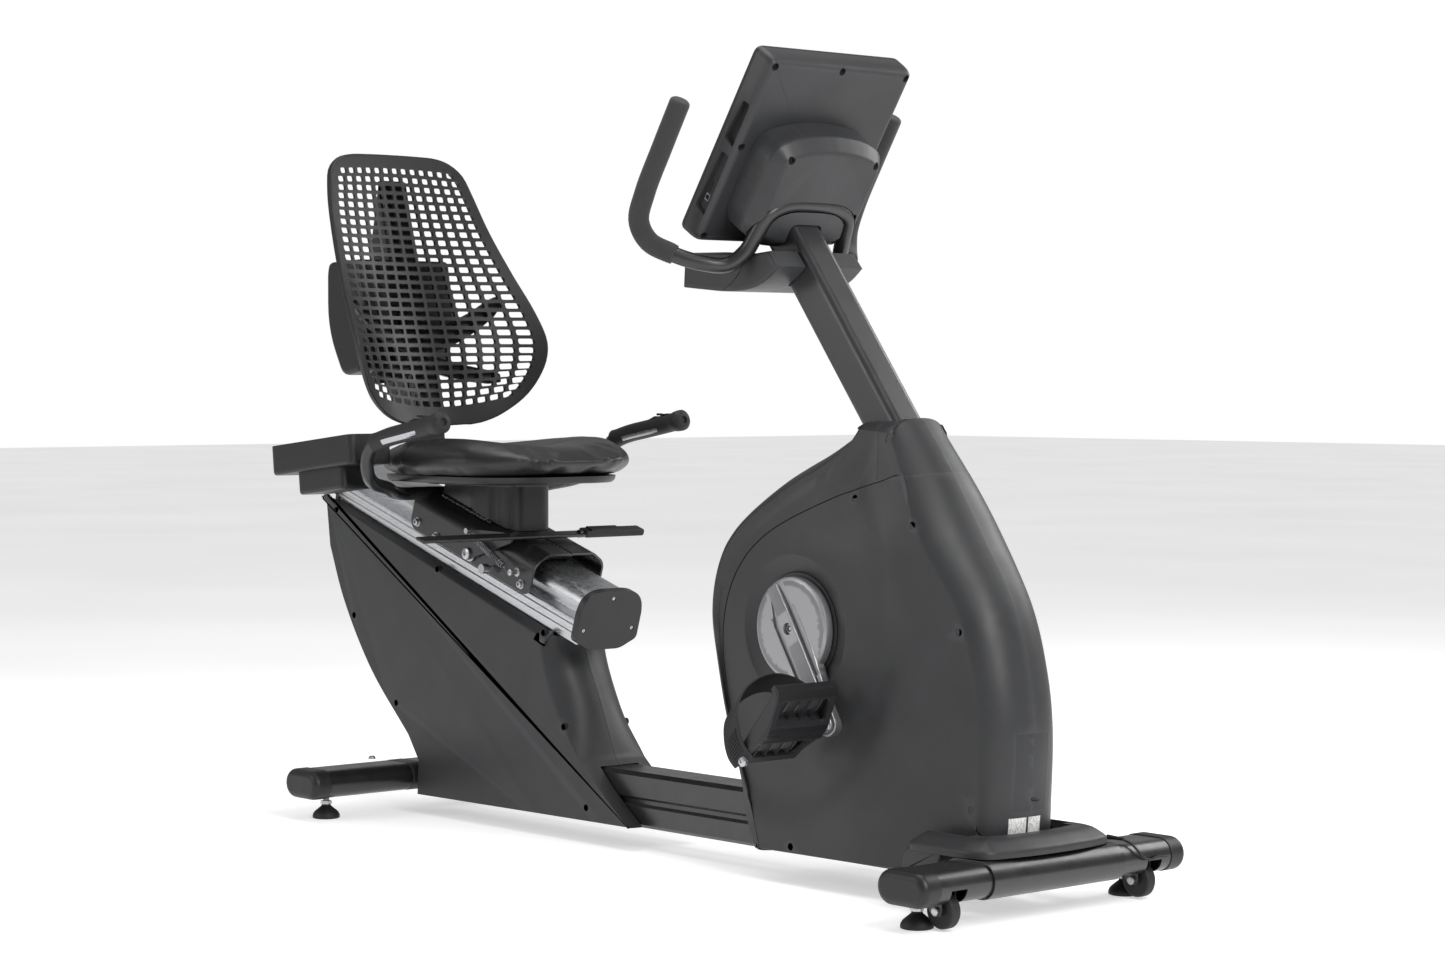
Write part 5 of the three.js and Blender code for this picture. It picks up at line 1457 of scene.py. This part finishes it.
def carriage():
    hood = new_object(
        "carriage_hood",
        prism(
            "x",
            both(
                rounded([(0.5, 78), (52, 78, 6), (76, 62, 12), (82, 50, 10), (82, -5, 2), (0.5, -5)], 3, 6)
            ),
            -527, -140
        ),
        SLOPE, 30
    )
    carve(
        hood,
        prism(
            "x",
            both(
                rounded([(0.5, 74), (50, 74, 4), (73, 59, 10), (78, 49, 8), (78, -12, 1), (0.5, -12)], 3, 6)
            ),
            -530, -137
        ),
        space=SLOPE
    )
    cuts = []
    low = -5
    for at, sign in ((-527, 1), (-140, -1)):
        c = at + sign * 22
        curve = [
            (c - sign * 22 * math.sin(t), low + 22 - 22 * math.cos(t))
            for t in np.linspace(0, math.pi / 2, 8)
        ]
        corner = [(at - sign * 8, low - 8), (c, low - 8)] + curve + [(at - sign * 8, low + 22)]
        cuts.append(prism("y", corner, -120, 120))
    curve = [(-495 - 32 * math.sin(t), 46 + 32 * math.cos(t)) for t in np.linspace(0.1, math.pi / 2, 8)]
    cuts.append(prism("y", [(-540, 100), (-495, 100), (-495, 78.2)] + curve + [(-540, 46)], -120, 120))
    carve(hood, *cuts, space=SLOPE, smooth=30)
    edges(hood, 0.8, 2)
    wear(hood, PAINT, "carriage", ("carriage_frame",))
    post = new_object("seat_post", prism("x", rounded(rect(-60, 60, 76, 215), 3), -472, -380), SLOPE, 30)
    carve(post, block(-1200, 200, -300, 300, 640, 1200), smooth=30)
    carve(post, tube(handle_path(90), 13.4, 16), smooth=30)
    edges(post, 2.0, 3)
    wear(post, PAINT, "carriage")
    cover = new_object(
        "post_cover",
        prism(
            "z",
            rounded(
                [
                    (-616, -59), (-600, -62), (-556, -62, 4), (-548, -55, 6), (-540, -52, 4),
                    (-512, -50, 16), (-498, -30, 24), (-498, 30, 24), (-512, 50, 16), (-540, 52, 4),
                    (-548, 55, 6), (-556, 62, 4), (-600, 62), (-616, 59)
                ],
                3, 6
            ),
            480, 639
        ),
        smooth=30
    )
    carve(cover, prism("x", rect(-90, 90, -100, 79), -700, 0), space=SLOPE)
    carve(cover, prism("x", rect(-58, 58, 60, 300), -700, -380.2), space=SLOPE)
    edges(cover, 0.8, 2)
    wear(cover, SATIN, "carriage")
    plate = prism("z", rounded([(-745, -64), (-480, -64), (-480, 64), (-745, 64)], 8), 634, 640)
    piece("seat_plate", plate, PAINT, "carriage", bevel=0.8)
    run = [
        (s, -61 + 0.8 * math.sin(s * 0.9), 79 + 0.6 * math.sin(s * 1.3)) for s in np.arange(-470, -310, 2.0)
    ]
    bead = tube(run, [3.2 + 0.7 * math.sin(k * 1.1) for k in range(len(run))], 10)
    piece("seat_post_weld", bead, PAINT, "carriage", space=SLOPE)
    heads = []
    for s, w in ((-505, 13), (-168, 11), (-440, 6)):
        for side in (-1, 1):
            heads.append(sided(group(
                lathe([(9, 81), (9, 83), (7.4, 83.2)], (s, 0, w), (0, -1, 0), 24),
                lathe(
                    [(6.6, 83), (6.6, 88), (5.4, 89), (3, 89.2), (3, 86), (0.01, 86)], (s, 0, w),
                    (0, -1, 0), 20
                ),
            ), side))
    heads.append(
        lathe(
            [(8.5, 81), (8.5, 84), (4.6, 84.4), (4.6, 98), (6, 98.2), (6, 101), (4, 102)], (-184, 0, 29),
            (0, -1, 0), 20
        )
    )
    piece("carriage_bolts", group(*heads), STEEL, "carriage", space=SLOPE)


def lever():
    s, w = -218, 86
    bar = new_object(
        "release_bar", pillow("y", rounded(rect(s - 12, s + 12, w - 3, w + 3), 2.4), -292, 223, 1.5, 2),
        SLOPE
    )
    arm = rounded(
        [
            (-338, 8), (-322, 1, 8), (-310, 12, 8), (s + 12, w - 8, 6), (s + 12, w + 3, 3),
            (s - 14, w + 3, 8), (-312, 66, 10), (-334, 64, 10)
        ],
        6
    )
    carve(bar, prism("y", arm, -92, -88), operation="UNION", space=SLOPE)
    carve(bar, lathe([(7.5, -223), (7.5, -73)], (s, 0, w), (0, -1, 0), 24), operation="UNION", space=SLOPE)
    edges(bar, 0.8, 2)
    wear(bar, PAINT, "release_lever", ("seat_lever",))
    sleeve = pillow("y", rounded(rect(s - 13.5, s + 13.5, w - 5, w + 8.5), 5), 82, 224, 4, 3)
    pad = pillow("y", rounded(rect(s - 11, s + 11, w + 6, w + 11), 2.4), 96, 168, 1.5, 2)
    piece("release_handle", group(sleeve, pad), RUBBER, "release_lever", space=SLOPE)
    pivot = group(
        lathe([(15, 84.4), (15, 87.4), (13, 87.8)], (-326, 0, 14), (0, -1, 0), 32),
        lathe(
            [(11, 92.4), (11, 97), (8, 98.6), (4, 98.8), (4, 96), (0.01, 96)], (-326, 0, 14), (0, -1, 0), 24
        ),
        lathe([(4.4, 92), (4.4, 103), (5.6, 103.2), (5.6, 106)], (-326, 0, 59), (0, -1, 0), 16),
    )
    piece("lever_pivot_bolt", pivot, STEEL, "release_lever", space=SLOPE)


def coil_spring():
    a, b = np.array([-184.0, -101, 29]), np.array([-326.0, -101, 59])
    span = np.linalg.norm(b - a)
    k = (b - a) / span
    i = np.array([0.0, 1, 0])
    j = np.cross(k, i)
    hook = 16
    path = []
    for t in np.linspace(0, 1, 7):
        path.append(a + k * hook * t + j * 5.2 * math.sin(math.pi * t) * (1 - t))
    turns = 22
    for t in np.linspace(0, 1, turns * 12):
        angle = 2 * math.pi * turns * t
        grow = min(1, 12 * t, 12 * (1 - t))
        path.append(
            a + k * (hook + (span - 2 * hook) * t)
            + 6.2 * grow * (math.cos(angle) * i + math.sin(angle) * j)
        )
    for t in np.linspace(0, 1, 7):
        path.append(b - k * hook * (1 - t) + j * 5.2 * math.sin(math.pi * t) * t)
    piece(
        "return_spring_coil", tube(path, 1.15, 6), SPRING, "carriage", ("lever_spring",), SLOPE, smooth=60
    )


# ------------------------------------------------------------------ seat
def eased(pairs, at):
    """A smooth value read from a short table, by a curve through its points."""
    x = np.array([p[0] for p in pairs], float)
    y = np.array([p[1] for p in pairs], float)
    slope = np.gradient(y, x)
    i = int(np.clip(np.searchsorted(x, at) - 1, 0, len(x) - 2))
    h = x[i + 1] - x[i]
    t = min(1.0, max(0.0, (at - x[i]) / h))
    return (
        (2 * t**3 - 3 * t**2 + 1) * y[i] + (t**3 - 2 * t**2 + t) * h * slope[i]
        + (3 * t**2 - 2 * t**3) * y[i + 1] + (t**3 - t**2) * h * slope[i + 1]
    )


SEAT_HALF = [
    (-797, 96), (-788, 130), (-770, 156), (-735, 182), (-690, 197), (-640, 205), (-560, 210), (-500, 205),
    (-450, 192), (-410, 168), (-380, 137), (-360, 104), (-349, 62)
]
SEAT_RIM = [
    (-797, 703), (-740, 716), (-680, 727), (-610, 736), (-540, 739), (-470, 731), (-420, 716), (-380, 700),
    (-349, 684)
]
SEAT_MIDDLE = [
    (-797, 698), (-740, 697), (-680, 695), (-610, 695), (-540, 699), (-470, 704), (-420, 704), (-380, 697),
    (-349, 683)
]
SEAT_BELLY = [(-797, 664), (-740, 658), (-560, 657), (-440, 659), (-400, 663), (-370, 669), (-349, 676)]


def cushion_solid():
    """A closed pad: each cross-section is one ring, crowned at its sides and dished along the middle."""
    rings = []
    along = [p[0] for p in SEAT_HALF]
    stations = np.unique(np.concatenate([np.linspace(a, b, 5) for a, b in zip(along, along[1:])]).round(3))
    across = np.sin(np.linspace(-math.pi / 2, math.pi / 2, 33))
    for x in stations:
        half, rim, mid, low = (eased(t, x) for t in (SEAT_HALF, SEAT_RIM, SEAT_MIDDLE, SEAT_BELLY))
        top, under = [], []
        for t in across:
            fall = 1 - abs(t) ** 7
            height = mid + (rim - mid) * abs(t) ** 2.0
            crest = low + 20 + (height - low - 20) * math.sqrt(max(0.0, fall))
            top.append((x, half * t, crest))
            sole = low + 20 - 20 * math.sqrt(max(0.0, 1 - abs(t) ** 5))
            under.append((x, half * t, sole))
        rings.append(top + under[::-1][1:-1])
    return loft(rings)


def settle(ob, pressure, cap, frames=20):
    """Swells the pad as cloth and keeps each point within the cap, in millimetres."""
    start = np.array([v.co[:] for v in ob.data.vertices])
    cloth = ob.modifiers.new("cloth", "CLOTH")
    cloth.settings.quality = 5
    cloth.settings.mass = 0.3
    cloth.settings.tension_stiffness = 18
    cloth.settings.compression_stiffness = 18
    cloth.settings.shear_stiffness = 8
    cloth.settings.bending_stiffness = 6
    cloth.settings.use_pressure = True
    cloth.settings.uniform_pressure_force = pressure
    cloth.settings.effector_weights.gravity = 0
    cloth.point_cache.frame_start, cloth.point_cache.frame_end = 1, frames
    scene = bpy.context.scene
    for k in range(1, frames + 1):
        scene.frame_set(k)
    depsgraph = bpy.context.evaluated_depsgraph_get()
    swollen = np.array([v.co[:] for v in ob.evaluated_get(depsgraph).data.vertices])
    ob.modifiers.clear()
    scene.frame_set(1)
    move = swollen - start
    length = np.linalg.norm(move, axis=1)
    reach = np.minimum(1, cap / 1000 / np.maximum(length, 1e-9))
    ob.data.vertices.foreach_set("co", (start + move * reach[:, None]).ravel())
    ob.data.update()


def seat():
    pad = new_object("seat_pad", cushion_solid(), smooth=180)
    remesh = pad.modifiers.new("remesh", "REMESH")
    remesh.mode, remesh.voxel_size = "VOXEL", 0.006
    freeze(pad, 180)
    settle(pad, 4.0, 6)
    relax = pad.modifiers.new("relax", "SMOOTH")
    relax.factor, relax.iterations = 0.5, 5
    fine = pad.modifiers.new("fine", "SUBSURF")
    fine.levels = fine.render_levels = 1
    freeze(pad, 180)
    wear(pad, LEATHER, "carriage", ("seat_cushion",))
    base = rounded(
        [
            (-770, -150, 30), (-790, -90, 20), (-852, -60, 12), (-852, 60, 12), (-790, 90, 20),
            (-770, 150, 30), (-560, 178, 60), (-440, 160, 60), (-385, 90, 50), (-385, -90, 50),
            (-440, -160, 60), (-560, -178, 60)
        ],
        20, 7
    )
    shell = new_object("seat_base_pan", loft([
        on("z", inset(base, d), z) for z, d in ((641, 8), (642.4, 5), (645, 2.4), (649, 0.8), (654, 0))
    ]), smooth=40)
    wear(shell, TRIM, "carriage", ("seat_pan",))


BACK_HALF = [
    (745, 70), (750, 98), (765, 136), (800, 182), (850, 213), (900, 226), (960, 222), (1040, 205),
    (1120, 187), (1200, 170), (1240, 156), (1262, 130), (1270, 104), (1272, 84)
]
BACK_WRAP = [
    (745, 0.0012), (820, 0.0017), (900, 0.0019), (980, 0.0016), (1050, 0.0012), (1160, 0.0006),
    (1272, 0.0003)
]


BACK_THICK = 14.0


def back_surface(y, z, behind=0.0):
    """The back's front face, as x at (y, z), or a face behind it: it leans back, its sides forward."""
    return -790 - 0.298 * (z - 750) + eased(BACK_WRAP, z) * y * y - behind


def back_outline():
    half = spline([(h, z) for z, h in BACK_HALF], 56)
    low = spline([(0, 743), (36, 744), (70, 746)], 6)[:-1]
    high = spline([(84, 1272), (44, 1273), (0, 1273.4)], 6)[1:]
    return both([tuple(p) for p in np.vstack([low[1:], half, high[:-1]])])


def backrest():
    """The moulded back: a rim round rows of slots, cut flat and then wrapped to its curve."""
    outline = back_outline()
    steps = (
        (0, 2.4), (0.8, 0.9), (2.4, 0), (BACK_THICK - 2.4, 0), (BACK_THICK - 0.8, 0.9), (BACK_THICK, 2.4)
    )
    sheet = new_object("back_shell", loft([on("x", inset(outline, d), x) for x, d in steps]), smooth=40)
    carve(sheet, prism("x", inset(outline, 17), 6.5, 30), smooth=40)
    rows, columns = 27, 13
    bottom, top = 776.0, 1250.0
    cutters = []
    for r in range(rows):
        z = bottom + (top - bottom) * (r + 0.5) / rows
        low_bend = 26 * smoothstep((900 - z) / 150)
        for c in range(columns):
            u0, u1 = -1 + 2 * c / columns, -1 + 2 * (c + 1) / columns
            reach = eased(BACK_HALF, min(1258, z + low_bend * 0.6)) - 17.5
            pitch = 2 * reach / columns
            y0, y1 = u0 * reach + 3.2, u1 * reach - 3.2
            high_bend = smoothstep((z - 1150) / 100)
            b0, b1 = (low_bend * (y / reach) ** 2 - 5 * (y / reach) ** 2 * high_bend for y in (y0, y1))
            corners = [(y0, z - 5.4 + b0), (y1, z - 5.4 + b1), (y1, z + 5.4 + b1), (y0, z + 5.4 + b0)]
            limit = eased(BACK_HALF, min(1268, max(746, max(corners[2][1], corners[3][1])))) - 15
            limit_low = eased(BACK_HALF, min(1268, max(746, min(corners[0][1], corners[1][1])))) - 15
            if max(abs(y0), abs(y1)) > min(limit, limit_low) or pitch < 16:
                continue
            cutters.append(prism("x", rounded(corners, 3.4, 4), -8, 30))
    carve(sheet, group(*cutters), smooth=40)
    bm = bmesh.new()
    bm.from_mesh(sheet.data)
    for at in np.arange(750, 1272, 19.0):
        bmesh.ops.bisect_plane(
            bm, geom=bm.verts[:] + bm.edges[:] + bm.faces[:], plane_co=(0, 0, at / 1000), plane_no=(0, 0, 1)
        )
    for at in np.arange(-216, 217, 18.0):
        bmesh.ops.bisect_plane(
            bm, geom=bm.verts[:] + bm.edges[:] + bm.faces[:], plane_co=(0, at / 1000, 0), plane_no=(0, 1, 0)
        )
    for v in bm.verts:
        depth = (v.co.x - SHIFT) * 1000
        y, z = v.co.y * 1000, v.co.z * 1000
        v.co.x = (back_surface(y, min(1272, max(745, z))) - depth) / 1000 + SHIFT
    bmesh.ops.recalc_face_normals(bm, faces=bm.faces)
    bm.to_mesh(sheet.data)
    bm.free()
    sharpen(sheet.data, 38)
    wear(sheet, TRIM, "carriage", ("backrest",))


def back_support():
    def behind(y, z, gap):
        return back_surface(y, z, BACK_THICK) - gap

    front = spline(
        [(behind(0, 1225, 3), 1225), (behind(0, 900, 3), 900), (behind(0, 745, 6), 745)], 20
    )[::4]
    upright = rounded([*map(tuple, front), (-806, 655), (-1012, 930)], 6, 5)
    parts = new_object("back_upright", pillow("y", upright, -32, 32, 4, 3), smooth=34)
    hub = rounded(
        [
            (-883, 950, 20), (-905, 1066, 10), (-1012, 1062, 22), (-1018, 1040, 10), (-1018, 930, 60),
            (-965, 838, 20), (-905, 850, 12)
        ],
        10, 6
    )
    box = new_object("back_hub", pillow("y", hub, -108, 108, 9, 4), smooth=34)
    carve(
        box, pillow("y", inset(hub, 6), -101, -34, 2, 2), pillow("y", inset(hub, 6), 34, 101, 2, 2),
        prism(
            "y", [(-940, 842), (-905, 850), (-880, 950), (-900, 1060), (-860, 1060), (-860, 840)], -101, 101
        ),
        smooth=34
    )
    carve(parts, block(-852, -806, -60, 60, 654.8, 664), operation="UNION", smooth=34)
    wear(parts, PAINT, "carriage", ("back_support",))
    wear(box, TRIM, "carriage")
    for name, stations, depth in (
        (
            "high",
            [(24, 905, 22), (60, 915, 21), (95, 930, 20), (130, 950, 18), (160, 972, 16), (176, 986, 10)],
            20
        ),
        ("low", [(24, 862, 18), (60, 852, 17), (95, 844, 16), (130, 838, 14), (150, 836, 9)], 16),
    ):
        for hand, side in SIDES:
            rings = []
            for y, z, half in stations:
                section = rounded(
                    [(z - half, 0), (z + half, 0), (z + half, depth), (z - half, depth)], 5, 4
                )
                rings.append([(behind(y, v, 4) - d, side * y, v) for v, d in section])
            piece(f"back_arm_{name}_{hand}", loft(rings), TRIM, "carriage")


PLATE_ANGLES = np.radians(np.linspace(-50, -16, 9))


def side_handles():
    piece("side_handle_bar", tube(handle_path(170), 12.5, 24), TUBE, "carriage", ("side_handle_tube",))
    grip = spline(
        [(-395, -282, 757), (-412, -282, 754), (-500, -283, 738.5), (-560, -283, 728), (-600, -283, 717.4)],
        40
    )
    run = np.r_[0, np.cumsum(np.linalg.norm(np.diff(grip, axis=0), axis=1))]
    radii = np.interp(
        run, [0, 1.5, 4, 9, 20, 30, 180, 205, run[-1]], [13, 17.4, 19.6, 20.2, 19.6, 17.4, 17, 17.6, 18.4]
    )
    for hand, side in SIDES:
        body = new_object(f"rubber_grip_{hand}", sided(tube(grip, radii, 32), side), smooth=50)
        well = block(-470, -438, -290, -275, 760.5, 790)
        dimple = lathe([(7, -3), (8, 6)], (-395, -282, 757), (1, 0, 0.18), 24)
        carve(body, sided(well, side), sided(dimple, side), smooth=50)
        wear(body, RUBBER, "carriage", (f"side_grip_{hand}",))
        plates = []
        for way in (1, -1):
            rings = []
            for cx, cy, cz in grip[12:33]:
                row = [(cx, cy + way * 17.35 * math.cos(a), cz + 17.35 * math.sin(a)) for a in PLATE_ANGLES]
                under = [(x, cy + (y - cy) * 0.93, cz + (z - cz) * 0.93) for x, y, z in row]
                rings.append(row + under[::-1])
            plates.append(loft(rings))
        piece(f"pulse_plates_{hand}", sided(group(*plates), side), STEEL, "carriage", smooth=50)
        hump = pillow(
            "y", rounded([(-492, 748), (-490, 757), (-476, 762.4), (-472.4, 763), (-472.4, 750)], 3), -292,
            -274, 2, 2
        )
        hump2 = pillow(
            "y", rounded([(-436, 756), (-436, 768), (-428, 768.6), (-414, 764), (-408, 756)], 3), -292,
            -274, 2, 2
        )
        piece(f"thumb_housing_{hand}", sided(group(hump, hump2), side), RUBBER, "carriage")
        key = [
            (-468.5, 764.2), (-439.5, 764.2), (-439.5, 768.6), (-447, 767.4), (-461, 767.4), (-468.5, 768.6)
        ]
        piece(f"thumb_key_{hand}", sided(group(
            pillow("y", rounded(key, 1.6), -289, -275, 1.2, 2),
            lathe([(3.4, 275.5), (3.4, 288.5)], (-454, 0, 764), (0, -1, 0), 20),
        ), side), SATIN, f"{hand}_rocker", (f"thumb_rocker_{hand}",))


def tray():
    tilt = turned(-790, 693, -6) @ Matrix.Translation((790, 0, -690))

    def bin_shape(width, depth, radius, cx, cy, z0, z1, wall):
        outline = rounded(rect(cx - width / 2, cx + width / 2, cy - depth / 2, cy + depth / 2), radius, 8)
        outer = loft(
            [
                on("z", inset(outline, d), z) for z,
                d in (
                    (z0, 5), (z0 + 1.2, 2), (z0 + 4, 0.4), (z0 + 8, 0), (z1 - 1.6, 0), (z1 - 0.4, 0.6),
                    (z1, 1.4)
                )
            ]
        )
        hollow = loft(
            [
                on("z", inset(outline, wall + d), z) for z,
                d in ((z0 + 4, 4), (z0 + 6, 1), (z0 + 10, 0), (z1 + 10, 0))
            ]
        )
        return outer, hollow

    upper, upper_hollow = bin_shape(268, 96, 18, -790, -254, 660, 716, 3.4)
    lower, lower_hollow = bin_shape(150, 74, 14, -782, -252, 618, 664, 3.4)
    body = new_object("accessory_bin", upper, tilt, 36)
    carve(body, lower, operation="UNION", space=tilt, smooth=36)
    carve(body, upper_hollow, lower_hollow, space=tilt, smooth=36)
    carve(body, tube(handle_path(90), 15, 16), smooth=36)
    wear(body, TRIM, "carriage", ("accessory_tray",))


# ------------------------------------------------------------------ sensor lead
LEAD = [
    (771, 166, 101.2), (790, 170, 101), (803, 173, 100.5), (817, 176, 96), (826, 180, 87), (831, 187, 77),
    (832, 196, 71), (832, 206, 69), (832, 216, 71), (832, 226, 72), (832, 236, 71), (831, 246, 70),
]


def sensor_lead():
    run = spline(LEAD, 120)
    start = int(np.argmin(np.abs(run[:, 0] - 806)))
    run = run[start:]
    cable = piece("sensor_cable", tube(run, 2.0, 12), RUBBER, replaces=("sensor_lead",))
    sheath = spline([(774, 168, 103), (790, 171, 102.6), (803, 174, 101.6)], 22)
    radii = [4.0 - 0.05 * k - (0.6 if 6 < k < 20 and k % 2 else 0) for k in range(22)]
    boot = piece(
        "sensor_cable_boot", tube(sheath, radii, 20), RUBBER, replaces=("lead_strain_relief",), smooth=60
    )


# ------------------------------------------------------------------ nodes that stay
KEPT = {
    "main_frame": PAINT,
    "mast_base": PAINT,
    "crank_bracket": PAINT,
    "crank_axle_pulley": IRON,
    "flywheel": IRON,
    "drive_belt": RUBBER,
    "carriage_roller_front": SATIN,
    "carriage_roller_rear": SATIN,
    "lock_pin": STEEL,
}


def keep_nodes():
    for name, (material, slot) in KEPT.items():
        ob = bpy.data.objects[name]
        ob.data.materials.clear()
        ob.data.materials.append(material)
        edges(ob, 0.8, 2, 40)


def floor():
    mesh = bpy.data.meshes.new("floor")
    mesh.from_pydata([(-30, -30, 0), (30, -30, 0), (30, 30, 0), (-30, 30, 0)], [], [(0, 1, 2, 3)])
    ob = bpy.data.objects.new("floor", mesh)
    n = Nodes("studio_floor")
    pale = n.tones(n.noise(0.7, 2), (0.78, 0.78, 0.79), (0.82, 0.82, 0.82))
    n.link(pale, n.shader.inputs["Base Color"])
    n.link(pale, n.shader.inputs["Emission Color"])
    n.set(Roughness=0.9, Specular_IOR_Level=0.1, Emission_Strength=0.62)
    mesh.materials.append(n.material)
    bpy.context.scene.collection.objects.link(ob)


look()
sensor_lead()
studio()
floor()
shroud()
collar()
nose()
housing()
stabilisers()
feet()
wheels()
skirt()
rear_foot_cover()
rail()
mast()
console()
handlebar()
rear_cover()
lower_cover()
crankset()
pedals()
carriage()
lever()
coil_spring()
seat()
backrest()
back_support()
side_handles()
tray()
keep_nodes()
